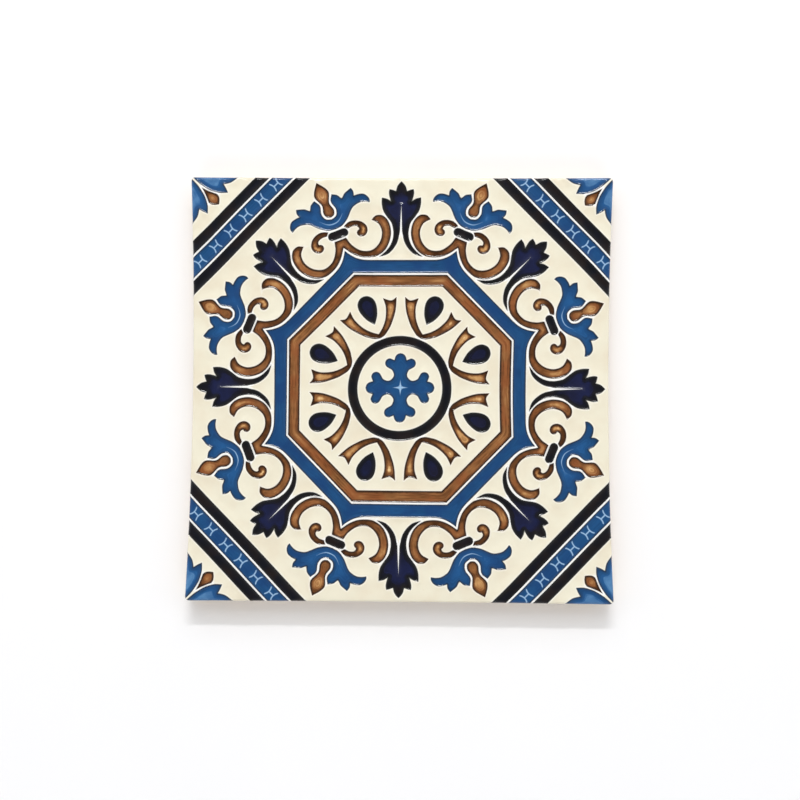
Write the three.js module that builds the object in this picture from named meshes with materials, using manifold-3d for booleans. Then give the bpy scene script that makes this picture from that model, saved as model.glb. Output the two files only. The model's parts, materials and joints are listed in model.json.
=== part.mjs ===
// Azulejo tile: one square of fired clay, pattern side up. Its pattern is a set of shallow
// pools, each holding one colour of glaze, kept apart by thin ridges of the clay itself.
// Millimetres, +Z up, origin at the middle of the back, the pattern's top towards +Y.

import * as THREE from 'three';
import { mergeVertices } from 'three/addons/utils/BufferGeometryUtils.js';
import Module from 'manifold-3d';

// Body of the tile
const TILE_SIDE = 140;
const TILE_THICKNESS = 10;
const CORNER_ROUND = 1.5; // plan radius of the four corners
const ARRIS_ROUND = 0.8; // rounding where the sides meet the face
const BACK_CHAMFER = 0.8; // easing round the back
const SIDE_WAIST = 1.7; // how far the left and right sides draw in at their middles
const END_WAIST = 0.25; // the same for the upper and lower sides

// Pools and the ridges between them
const POOL_DEPTH = 0.7;
const RIDGE_WIDTH = 0.6;

// Medallion, from the centre outwards
const RING_INNER_RADIUS = 14.3;
const RING_WIDTH = 3.05;
const AMBER_APOTHEM = 33.75; // inner edge of the amber octagon
const AMBER_WIDTH = 3.75;
const BLUE_WIDTH = 4.25; // blue octagon, one ridge outside the amber one
const CLASP_WIDTH = 7;
const CLASP_HEIGHT = 2.8;
const CLASP_RISE = 9.2; // middle of the clasp above the blue octagon's corner

// Corners of the tile, measured along the diagonal
const BAND_START = 15.4; // tile corner to the outer navy band
const NAVY_BAND_WIDTH = 3.3;
const BLUE_BAND_WIDTH = 4.95;
const BAND_OVERRUN = 2; // how far a cut for a band runs past the tile's side

// Fineness of the rounded lines
const MAX_TURN = THREE.MathUtils.degToRad(34);
const CORNER_STEPS = 3;
const SIDE_STEPS = 8;
const RING_STEPS = 48;

// Places that follow from the sizes
const HALF_SIDE = TILE_SIDE / 2;
const HALF_DIAGONAL = TILE_SIDE / Math.SQRT2;
const EIGHTH = Math.PI / 4;
const RING_OUTER_RADIUS = RING_INNER_RADIUS + RING_WIDTH;
const AMBER_OUTER_APOTHEM = AMBER_APOTHEM + AMBER_WIDTH;
const BLUE_APOTHEM = AMBER_OUTER_APOTHEM + RIDGE_WIDTH;
const BLUE_OUTER_APOTHEM = BLUE_APOTHEM + BLUE_WIDTH;
const BLUE_CORNER_RADIUS = BLUE_OUTER_APOTHEM / Math.cos(EIGHTH / 2);

// Motif outlines. Each list runs along one half of the motif, x across and y outwards, and is
// split where the outline has a sharp point; between sharp points it is one smooth curve.

// Arm of the centre cross, from its tip to the round bay between two arms
const CROSS_ARM = [
  [[0, 11.5], [0.95, 11.2], [1.65, 10.45], [2.05, 9.1]],
  [[2.05, 9.1], [2.9, 9.45], [3.7, 9.7], [4.7, 9.25], [5.15, 8.2], [4.8, 7.15], [3.9, 6.5], [2.8, 5.85],
    [2.2, 4.5], [2.3, 3.55], [2.82, 2.82]],
];

// Arch that opens outwards, its foot one step outside the ring; y from the ring's outer edge
const ARCH = [
  [[0, 0.55], [1.6, 0.95], [3.4, 2.1], [5.2, 3.6], [8.15, 7.15], [10.2, 11.15]],
  [[10.2, 11.15], [8.2, 10.8], [6, 12.45]],
  [[6, 12.45], [5.75, 9.5], [4.3, 6.2], [2.3, 3.75], [0, 1.95]],
];

// Drop inside the arch; y from the ring's outer edge
const DROP = [
  [[0, 5.55], [1, 6.75], [1.95, 8.15], [2.75, 10.2], [3.05, 12], [2.8, 13.45], [2.1, 14.5], [1.1, 15.2],
    [0, 15.4]],
];

// Cusp of the blue octagon, from its point down to the straight side; y from the corner
const BLUE_CUSP = [
  [[0, 3.3], [0.7, 2.1], [1.65, 0.75], [2.95, -0.62], [4.5, -1.7], [6.2, -2.54], [8.5, -3.52]],
];

// Pair of scrolls on one stem; y from the blue octagon's corner
const SCROLLS = [
  [[0, 7.25], [2.03, 7.25]],
  [[2.03, 7.25], [2.85, 4.3], [5.1, 1.3], [8.55, 0.1], [11.85, 1.45], [13.9, 4.3], [14, 7.4], [12.35, 9.65]],
  [[12.35, 9.65], [14.2, 10.4], [16.4, 9.3], [17.3, 6.4], [16.3, 2.4], [13.2, -1.15], [9.2, -2.3],
    [5, -1.05], [2.1, 1.35], [0, 4.4]],
];

// Small curl at one end of the clasp; y from the blue octagon's corner
const CURL = [
  [[2.8, 11.05], [4, 11.65], [5.5, 11.85], [7.2, 11.45], [8.7, 10.5], [9.75, 8.9], [9.8, 7.4],
    [9.15, 6.25], [8.1, 5.65], [7, 5.75], [6.2, 6.45], [6.1, 7.4], [6.6, 8], [7.25, 8.15]],
  [[7.25, 8.15], [7.3, 8.9], [6.7, 9.65], [5.3, 10.1], [3.75, 9.95]],
];

// Palmette round the bud; y from the blue octagon's corner
const PALMETTE = [
  [[0, 14.8], [1.85, 15.5], [2.6, 17.6], [1.95, 20.4], [3.1, 22.55]],
  [[3.1, 22.55], [4.65, 21.65], [5.3, 20.65], [5.7, 19.95]],
  [[5.7, 19.95], [6.4, 20.5], [7.2, 21.2], [8.5, 21.65], [9.85, 22.05]],
  [[9.85, 22.05], [10.15, 20.7], [9.75, 19.35]],
  [[9.75, 19.35], [11.3, 19.25], [12.9, 18.75], [13.85, 17.6], [14.15, 16.3], [13.85, 15.45]],
  [[13.85, 15.45], [12.6, 16.15], [11, 16.6], [9.2, 16.4], [7.5, 15.65], [4.7, 12.95], [2.4, 11.55],
    [0, 11.2]],
];

// Bud; y from the blue octagon's corner
const BUD = [[[0, 27.8], [1.95, 25.2], [2.45, 23.2], [1.3, 20.2], [1.85, 17.6], [1.3, 16], [0, 15.45]]];

// Leaf, split from its foot by a tapering vein; y from the blue octagon's side
const LEAF = [
  [[0, 26.35], [0.75, 25.6], [1.4, 24.6], [1.8, 23.05]],
  [[1.8, 23.05], [2.9, 23.5], [3.95, 23.75]],
  [[3.95, 23.75], [4.15, 22.7], [3.95, 21.3], [3.4, 19.65]],
  [[3.4, 19.65], [4.8, 20.55], [6.5, 20.95]],
  [[6.5, 20.95], [6.5, 18.8], [6, 16.7], [5, 14.95], [3.9, 13.5], [3.05, 12.1], [2.6, 10], [2.55, 8.4],
    [2.8, 6.8], [3.55, 5], [5.05, 3.05], [7.3, 1.1]],
  [[7.3, 1.1], [4.8, 1.9], [3.4, 2.9], [2.15, 4.4], [1.15, 6.3], [0.4, 9.6]],
  [[0.4, 9.6], [0.35, 13], [0, 18.45]],
];

// Corner petal, from the diagonal round to the tile's side; y measured from the tile's corner
const PETAL_INNER_EDGE = [[0.35, 1.5], [0.5, 4], [0.9, 6.1], [1.5, 8], [2.6, 10], [3.55, 11.1], [4.9, 12.3]];
const PETAL_NOTCH = [[4.9, 12.3], [5.55, 10.75], [5.9, 9.4]];
const PETAL_TAIL = [[5.9, 9.4], [8.2, 10.75], [11.2, 11.2]];

// Kite between the petals; y measured from the tile's corner
const KITE = [
  [[0, 5.05], [0.7, 7.3], [2.05, 10.2]],
  [[2.05, 10.2], [1.75, 11.2], [1.05, 12.1], [0, 12.9]],
];

// Smooth curve through the given points, with no more vertices than its bends need
function smooth(points) {
  const curve = new THREE.SplineCurve(points.map(([x, y]) => new THREE.Vector2(x, y)));
  const spans = points.length - 1;
  const path = [];
  for (let i = 0; i < spans; i += 1) {
    const from = curve.getTangent(i / spans);
    const to = curve.getTangent((i + 1) / spans);
    const steps = Math.max(1, Math.ceil(from.angleTo(to) / MAX_TURN));
    for (let k = 0; k < steps; k += 1) path.push(curve.getPoint((i + k / steps) / spans).toArray());
  }
  path.push(points[spans]);
  return path;
}

// Open line through a motif's stretches, moved outwards by rise
function trace(stretches, rise = 0) {
  const path = [];
  for (const stretch of stretches) path.push(...smooth(stretch));
  const joined = path.filter(([x, y], i) => i === 0 || Math.hypot(x - path[i - 1][0], y - path[i - 1][1]) > 1e-6);
  return joined.map(([x, y]) => [x, y + rise]);
}

function mirrored(outline) {
  return outline.map(([x, y]) => [-x, y]).reverse();
}

// Closed outline from its right half, which starts and ends on the axis
function both(half) {
  const right = half.filter(([x], i) => x > 1e-6 || i === 0 || i === half.length - 1);
  return [...right, ...mirrored(right.slice(1, -1))];
}

// Outline turned clockwise about the centre by an angle
function turned(outline, angle) {
  const c = Math.cos(angle);
  const s = Math.sin(angle);
  return outline.map(([x, y]) => [x * c + y * s, y * c - x * s]);
}

// Copies of an outline round the centre, the first one turned by the start angle
function around(outline, count, start = 0) {
  return Array.from({ length: count }, (_, i) => turned(outline, start + (i * 2 * Math.PI) / count));
}

// The fired tile draws in a little at the middles of its sides, and its pattern with it
function waisted([x, y]) {
  return [
    x * (1 - (SIDE_WAIST / HALF_SIDE) * (1 - (y / HALF_SIDE) ** 2)),
    y * (1 - (END_WAIST / HALF_SIDE) * (1 - (x / HALF_SIDE) ** 2)),
  ];
}

// Outline of the tile, drawn in by an inset
function tileOutline(inset) {
  const half = HALF_SIDE - inset;
  const radius = CORNER_ROUND - Math.min(inset, CORNER_ROUND / 2);
  const centre = half - radius;
  const corner = [];
  for (let i = 0; i <= CORNER_STEPS; i += 1) {
    const angle = (i / CORNER_STEPS) * (Math.PI / 2);
    corner.push([centre + radius * Math.sin(angle), centre + radius * Math.cos(angle)]);
  }
  const side = [];
  for (let i = 1; i < SIDE_STEPS; i += 1) side.push([half, centre - (2 * centre * i) / SIDE_STEPS]);
  return around([...corner, ...side], 4).flat().map(waisted);
}

// Solid blank of the tile: rings of one outline at rising heights, closed by its back and face
function tileBlank() {
  const arris = [0, 1, 2].map((i) => (i / 2) * (Math.PI / 2));
  const rings = [
    { z: 0, inset: BACK_CHAMFER },
    { z: BACK_CHAMFER, inset: 0 },
    ...arris.map((angle) => ({
      z: TILE_THICKNESS - ARRIS_ROUND * (1 - Math.sin(angle)),
      inset: ARRIS_ROUND * (1 - Math.cos(angle)),
    })),
  ];
  const loops = rings.map(({ inset }) => tileOutline(inset));
  const count = loops[0].length;
  const positions = loops.flatMap((loop, r) => loop.flatMap(([x, y]) => [x, y, rings[r].z]));
  const index = [];
  for (let r = 0; r < rings.length - 1; r += 1) {
    for (let i = 0; i < count; i += 1) {
      const a = r * count + i;
      const b = r * count + ((i + 1) % count);
      index.push(a, a + count, b, b, a + count, b + count);
    }
  }
  const cap = THREE.ShapeUtils.triangulateShape(loops[0].map(([x, y]) => new THREE.Vector2(x, y)), []);
  const top = (rings.length - 1) * count;
  for (const [a, b, c] of cap) {
    index.push(a, c, b);
    index.push(top + a, top + b, top + c);
  }
  const geometry = new THREE.BufferGeometry();
  geometry.setAttribute('position', new THREE.Float32BufferAttribute(positions, 3));
  geometry.setIndex(index);
  return geometry;
}

// Block that cuts one pool out of the face, with islands left standing in it
function poolCutter(outline, islands = []) {
  const plan = (line) => line.map((point) => new THREE.Vector2(...waisted(point)));
  const shape = new THREE.Shape(plan(outline));
  shape.holes = islands.map((island) => new THREE.Path(plan(island).reverse()));
  const block = new THREE.ExtrudeGeometry(shape, { depth: 2 * POOL_DEPTH, bevelEnabled: false });
  return block.translate(0, 0, TILE_THICKNESS - POOL_DEPTH);
}

function circle(radius) {
  return Array.from({ length: RING_STEPS }, (_, i) => turned([[0, radius]], (i * 2 * Math.PI) / RING_STEPS)[0]);
}

// Regular octagon with a flat side towards +Y
function octagon(apothem) {
  return around([[0, apothem / Math.cos(EIGHTH / 2)]], 8, EIGHTH / 2).flat();
}

// Outer edge of the blue octagon, with its eight cusps
function cuspedOctagon() {
  const right = trace(BLUE_CUSP, BLUE_CORNER_RADIUS);
  const cusp = [...mirrored(right).slice(0, -1), ...right];
  return around(cusp, 8, EIGHTH / 2).flat();
}

// Band across a tile corner, between two distances from it; y measured outwards from the centre
function cornerBand(start, width) {
  const outer = HALF_DIAGONAL - start;
  const inner = outer - width;
  const reach = (y) => HALF_DIAGONAL - y + BAND_OVERRUN;
  return [[-reach(inner), inner], [0, inner], [reach(inner), inner], [reach(outer), outer], [0, outer],
    [-reach(outer), outer]];
}

// Outline measured from the tile's corner, as one measured from the centre
function fromCorner(outline) {
  return outline.map(([x, y]) => [x, HALF_DIAGONAL - y]);
}

function cornerPetal() {
  const edge = trace([PETAL_INNER_EDGE, PETAL_NOTCH, PETAL_TAIL]);
  const [tailX, tailY] = edge[edge.length - 1];
  const past = tailX + BAND_OVERRUN;
  return fromCorner([...edge, [past, tailY], [past, -BAND_OVERRUN], [edge[0][0], -BAND_OVERRUN]]);
}

function clasp() {
  const r = CLASP_HEIGHT / 2;
  const reach = CLASP_WIDTH / 2 - r;
  const end = Array.from({ length: 5 }, (_, i) => turned([[0, r]], (i * Math.PI) / 4)[0]);
  const half = end.map(([x, y]) => [x + reach, y]);
  return [...half, ...mirrored(half)].map(([x, y]) => [x, y + BLUE_CORNER_RADIUS + CLASP_RISE]);
}

// Every pool of the pattern, as cutting blocks
function patternCutters() {
  const atCorners = (outline) => around(outline, 8, EIGHTH / 2);
  const atTileCorners = (outline) => around(outline, 4, EIGHTH);
  const curl = trace(CURL, BLUE_CORNER_RADIUS);
  const petal = cornerPetal();
  const blueBandStart = BAND_START + NAVY_BAND_WIDTH + RIDGE_WIDTH;
  const innerBandStart = blueBandStart + BLUE_BAND_WIDTH + RIDGE_WIDTH;
  const armHalf = trace(CROSS_ARM);
  const cross = around([...mirrored(armHalf).slice(0, -1), ...armHalf.slice(0, -1)], 4).flat();
  const plain = [
    cross,
    ...atCorners(both(trace(ARCH, RING_OUTER_RADIUS))),
    ...atCorners(both(trace(DROP, RING_OUTER_RADIUS))),
    ...atCorners(both(trace(SCROLLS, BLUE_CORNER_RADIUS))),
    ...atCorners(clasp()),
    ...atCorners(curl),
    ...atCorners(mirrored(curl)),
    ...atCorners(both(trace(PALMETTE, BLUE_CORNER_RADIUS))),
    ...atCorners(both(trace(BUD, BLUE_CORNER_RADIUS))),
    ...around(both(trace(LEAF, BLUE_OUTER_APOTHEM)), 8),
    ...atTileCorners(cornerBand(BAND_START, NAVY_BAND_WIDTH)),
    ...atTileCorners(cornerBand(blueBandStart, BLUE_BAND_WIDTH)),
    ...atTileCorners(cornerBand(innerBandStart, NAVY_BAND_WIDTH)),
    ...atTileCorners(petal),
    ...atTileCorners(mirrored(petal)),
    ...atTileCorners(fromCorner(both(trace(KITE)))),
  ];
  return [
    ...plain.map((outline) => poolCutter(outline)),
    poolCutter(circle(RING_OUTER_RADIUS), [circle(RING_INNER_RADIUS)]),
    poolCutter(octagon(AMBER_OUTER_APOTHEM), [octagon(AMBER_APOTHEM)]),
    poolCutter(cuspedOctagon(), [octagon(BLUE_APOTHEM)]),
  ];
}

const wasm = await Module();
wasm.setup();

function toSolid(geometry) {
  const bare = geometry.clone();
  bare.deleteAttribute('normal');
  bare.deleteAttribute('uv');
  const merged = mergeVertices(bare, 1e-5);
  return new wasm.Manifold(new wasm.Mesh({
    numProp: 3,
    vertProperties: new Float32Array(merged.attributes.position.array),
    triVerts: new Uint32Array(merged.index.array),
  }));
}

function toGeometry(solid) {
  const mesh = solid.getMesh();
  const geometry = new THREE.BufferGeometry();
  geometry.setAttribute('position', new THREE.BufferAttribute(mesh.vertProperties, 3));
  geometry.setIndex(new THREE.BufferAttribute(mesh.triVerts, 1));
  geometry.computeVertexNormals();
  return geometry;
}

function patternedTile() {
  let solid = toSolid(tileBlank());
  for (const cutter of patternCutters()) solid = solid.subtract(toSolid(cutter));
  return toGeometry(solid);
}

const glazedClay = new THREE.MeshStandardMaterial({ color: 0xece2c6, roughness: 0.2, metalness: 0 });
const tile = new THREE.Mesh(patternedTile(), glazedClay);
tile.name = 'tile';

const azulejo = new THREE.Group();
azulejo.add(tile);

export default azulejo;
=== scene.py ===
"""Azulejo tile, face up on a pale floor: pools of coloured glaze between thin white ridges."""

import json
import logging
import math
from dataclasses import dataclass, field
from enum import Enum, IntEnum

import bpy
import numpy as np
from mathutils import Matrix, Vector
from mathutils.geometry import delaunay_2d_cdt

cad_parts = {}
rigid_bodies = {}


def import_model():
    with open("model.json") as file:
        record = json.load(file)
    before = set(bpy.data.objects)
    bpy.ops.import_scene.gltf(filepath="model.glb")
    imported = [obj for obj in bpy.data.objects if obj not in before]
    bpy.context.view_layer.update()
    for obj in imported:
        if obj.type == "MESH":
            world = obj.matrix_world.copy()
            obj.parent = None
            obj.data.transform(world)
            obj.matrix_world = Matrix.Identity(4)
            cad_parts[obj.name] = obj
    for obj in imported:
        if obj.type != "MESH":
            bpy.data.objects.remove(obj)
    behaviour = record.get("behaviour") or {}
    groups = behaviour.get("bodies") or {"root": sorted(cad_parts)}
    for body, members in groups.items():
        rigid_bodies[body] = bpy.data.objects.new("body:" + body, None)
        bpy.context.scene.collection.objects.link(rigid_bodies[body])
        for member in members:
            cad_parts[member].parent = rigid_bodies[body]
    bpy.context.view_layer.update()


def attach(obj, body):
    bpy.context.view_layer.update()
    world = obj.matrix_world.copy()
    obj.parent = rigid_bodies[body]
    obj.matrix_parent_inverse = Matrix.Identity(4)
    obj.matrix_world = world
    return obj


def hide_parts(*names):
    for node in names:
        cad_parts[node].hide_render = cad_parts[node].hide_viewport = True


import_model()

MM = 0.001
EIGHTH = math.pi / 4
CLOSE = 1e-6  # millimetres under which two points of a line are one
WELD = 1e-5  # millimetres under which two points of the net are one
COPIES = 8  # of the eighth, round the face
log = logging.getLogger("azulejo")

Colour = tuple[float, float, float]
Linear = tuple[float, float, float, float]
Stretch = list[tuple[float, float]]


class Glaze(Enum):
    """The glazes of the face, by the name of their material slot."""

    CREAM = "cream_glaze"
    BLUE = "blue_glaze"
    NAVY = "navy_glaze"
    AMBER = "amber_glaze"


# Motif outlines in millimetres. Each list runs along one half of the motif, x across and y
# outwards, and is split where the outline has a sharp point.

# Arm of the centre cross, from its tip to the round bay between two arms
CROSS_ARM = [
    [(0, 11.5), (0.95, 11.2), (1.65, 10.45), (2.05, 9.1)],
    [(2.05, 9.1), (2.9, 9.45), (3.7, 9.7), (4.7, 9.25), (5.15, 8.2), (4.8, 7.15), (3.9, 6.5),
     (2.8, 5.85), (2.2, 4.5), (2.3, 3.55), (2.82, 2.82)],
]

# Arch that opens outwards; y from the ring's outer edge
ARCH = [
    [(0, 0.55), (1.6, 0.95), (3.4, 2.1), (5.2, 3.6), (8.15, 7.15), (10.2, 11.15)],
    [(10.2, 11.15), (8.2, 10.8), (6, 12.45)],
    [(6, 12.45), (5.75, 9.5), (4.3, 6.2), (2.3, 3.75), (0, 1.95)],
]

# Drop inside the arch; y from the ring's outer edge
DROP = [
    [(0, 5.55), (1, 6.75), (1.95, 8.15), (2.75, 10.2), (3.05, 12), (2.8, 13.45), (2.1, 14.5),
     (1.1, 15.2), (0, 15.4)],
]

# Cusp of the blue octagon, from its point down to the straight side; y from the corner
BLUE_CUSP = [
    [(0, 3.3), (0.7, 2.1), (1.65, 0.75), (2.95, -0.62), (4.5, -1.7), (6.2, -2.54), (8.5, -3.52)],
]

# Pair of scrolls on one stem; y from the blue octagon's corner
SCROLLS = [
    [(0, 7.25), (2.03, 7.25)],
    [(2.03, 7.25), (2.85, 4.3), (5.1, 1.3), (8.55, 0.1), (11.85, 1.45), (13.9, 4.3), (14, 7.4),
     (12.35, 9.65)],
    [(12.35, 9.65), (14.2, 10.4), (16.4, 9.3), (17.3, 6.4), (16.3, 2.4), (13.2, -1.15), (9.2, -2.3),
     (5, -1.05), (2.1, 1.35), (0, 4.4)],
]

# Small curl at one end of the clasp; y from the blue octagon's corner
CURL = [
    [(2.8, 11.05), (4, 11.65), (5.5, 11.85), (7.2, 11.45), (8.7, 10.5), (9.75, 8.9), (9.8, 7.4),
     (9.15, 6.25), (8.1, 5.65), (7, 5.75), (6.2, 6.45), (6.1, 7.4), (6.6, 8), (7.25, 8.15)],
    [(7.25, 8.15), (7.3, 8.9), (6.7, 9.65), (5.3, 10.1), (3.75, 9.95)],
]

# Palmette round the bud; y from the blue octagon's corner
PALMETTE = [
    [(0, 14.8), (1.85, 15.5), (2.6, 17.6), (1.95, 20.4), (3.1, 22.55)],
    [(3.1, 22.55), (4.65, 21.65), (5.3, 20.65), (5.7, 19.95)],
    [(5.7, 19.95), (6.4, 20.5), (7.2, 21.2), (8.5, 21.65), (9.85, 22.05)],
    [(9.85, 22.05), (10.15, 20.7), (9.75, 19.35)],
    [(9.75, 19.35), (11.3, 19.25), (12.9, 18.75), (13.85, 17.6), (14.15, 16.3), (13.85, 15.45)],
    [(13.85, 15.45), (12.6, 16.15), (11, 16.6), (9.2, 16.4), (7.5, 15.65), (4.7, 12.95), (2.4, 11.55),
     (0, 11.2)],
]

# Bud; y from the blue octagon's corner
BUD = [[(0, 27.8), (1.95, 25.2), (2.45, 23.2), (1.3, 20.2), (1.85, 17.6), (1.3, 16), (0, 15.45)]]

# Leaf, split from its foot by a tapering vein; y from the blue octagon's side
LEAF = [
    [(0, 26.35), (0.75, 25.6), (1.4, 24.6), (1.8, 23.05)],
    [(1.8, 23.05), (2.9, 23.5), (3.95, 23.75)],
    [(3.95, 23.75), (4.15, 22.7), (3.95, 21.3), (3.4, 19.65)],
    [(3.4, 19.65), (4.8, 20.55), (6.5, 20.95)],
    [(6.5, 20.95), (6.5, 18.8), (6, 16.7), (5, 14.95), (3.9, 13.5), (3.05, 12.1), (2.6, 10), (2.55, 8.4),
     (2.8, 6.8), (3.55, 5), (5.05, 3.05), (7.3, 1.1)],
    [(7.3, 1.1), (4.8, 1.9), (3.4, 2.9), (2.15, 4.4), (1.15, 6.3), (0.35, 9.6)],
    [(0.35, 9.6), (0.24, 13), (0, 18.8)],
]

# Corner petal, from the diagonal round to the tile's side; y from the tile's corner
PETAL = [
    [(0.35, -2), (0.35, 1.5)],
    [(0.35, 1.5), (0.5, 4), (0.9, 6.1), (1.5, 8), (2.6, 10), (3.55, 11.1), (4.9, 12.3)],
    [(4.9, 12.3), (5.55, 10.75), (5.9, 9.4)],
    [(5.9, 9.4), (8.2, 10.75), (11.2, 11.2)],
    [(11.2, 11.2), (13.2, 11.2)],
]

# Kite between the petals; y from the tile's corner
KITE = [
    [(0, 5.05), (0.7, 7.3), (2.05, 10.2)],
    [(2.05, 10.2), (1.75, 11.2), (1.05, 12.1), (0, 12.9)],
]

# Raised line that follows the foot of the palmette; y from the blue octagon's corner
PALMETTE_LINE = [[(0, 13.15), (1.3, 13.3), (2.3, 13.8), (3.2, 14.55), (4, 15.4)]]


SPAN_STEPS = 32  # between two given points of a smooth curve, before it is evened


def smooth(points: Stretch, step: float) -> np.ndarray:
    """Even points along the smooth curve through the given ones.

    Args:
        points: Points of the curve.
        step: Largest distance between two points of the result.

    Returns:
        Points, one per row, from the first given point to the last.
    """
    p = np.array([points[0], *points, points[-1]], float)
    t = np.linspace(0, 1, SPAN_STEPS + 1)[:, None]
    spans = []
    for a, b, c, d in zip(p, p[1:], p[2:], p[3:]):
        u, v = (c - a) / 2, (d - b) / 2
        spans.append(((2 * b - 2 * c + u + v) * t + (-3 * b + 3 * c - 2 * u - v)) * t * t + u * t + b)
    return evened(np.concatenate(spans), step)


def evened(line: np.ndarray, step: float) -> np.ndarray:
    """A line with its points at even distances, no further apart than step.

    Args:
        line: Points of the line.
        step: Largest distance between two points of the result.

    Returns:
        Points of the same line, with the same two ends.
    """
    length = np.concatenate([[0], np.cumsum(np.linalg.norm(np.diff(line, axis=0), axis=1))])
    count = max(1, math.ceil(length[-1] / step - CLOSE))
    at = np.linspace(0, length[-1], count + 1)
    return np.stack([np.interp(at, length, line[:, k]) for k in (0, 1)], 1)


def trace(stretches: list[Stretch], step: float, rise: float = 0.0) -> np.ndarray:
    """A motif's stretches as one line.

    Args:
        stretches: Smooth stretches between sharp points.
        step: Largest distance between two points of the result.
        rise: Distance by which the motif moves outwards.

    Returns:
        Points of the line.
    """
    path = np.concatenate([smooth(stretch, step) for stretch in stretches])
    apart = np.linalg.norm(np.diff(path, axis=0), axis=1) > CLOSE
    return path[np.concatenate([[True], apart])] + (0, rise)


def mirrored(line: np.ndarray) -> np.ndarray:
    """The line's mirror image across its axis, run the other way."""
    return line[::-1] * (-1, 1)


def turned(line: np.ndarray, angle: float) -> np.ndarray:
    """The line turned clockwise about the centre of the tile."""
    c, s = math.cos(angle), math.sin(angle)
    return line @ np.array([[c, -s], [s, c]])


def whole(half: np.ndarray) -> np.ndarray:
    """A motif's line from its right half, which starts on the axis.

    Args:
        half: Right half, from the axis outwards and, on a closed motif, back to the axis.

    Returns:
        The full line, closed if the half ends on the axis.
    """
    return np.concatenate([mirrored(half), half[1:]])


def between(edges: list[np.ndarray]) -> np.ndarray:
    """The closed shape between two lines that run side by side."""
    return np.concatenate([edges[0], edges[1][::-1]])


def gap_to(points: np.ndarray, lines: list[np.ndarray]) -> np.ndarray:
    """Distance of each point from the nearest of the lines.

    Args:
        points: Points, one per row.
        lines: Lines, each an array of points.

    Returns:
        One distance per point.
    """
    start = np.concatenate([line[:-1] for line in lines])
    reach = np.concatenate([line[1:] for line in lines]) - start
    square = (reach * reach).sum(1)
    found = np.empty(len(points))
    batch = 256
    for first in range(0, len(points), batch):
        part = points[first:first + batch, None] - start
        share = np.clip((part * reach).sum(2) / square, 0, 1)
        off = part - share[:, :, None] * reach
        found[first:first + batch] = (off * off).sum(2).min(1)
    return np.sqrt(found)


def inside(points: np.ndarray, shape: np.ndarray) -> np.ndarray:
    """Whether each point lies in a closed shape.

    Args:
        points: Points, one per row.
        shape: Corners of the shape; the last one joins the first.

    Returns:
        One truth value per point.
    """
    a, b = shape, np.roll(shape, -1, axis=0)
    x, y = points[:, :1], points[:, 1:]
    over = (a[:, 1] > y) != (b[:, 1] > y)
    rise = np.where(a[:, 1] == b[:, 1], 1, b[:, 1] - a[:, 1])
    left = x < a[:, 0] + (y - a[:, 1]) / rise * (b[:, 0] - a[:, 0])
    return (over & left).sum(1) % 2 == 1


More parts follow.
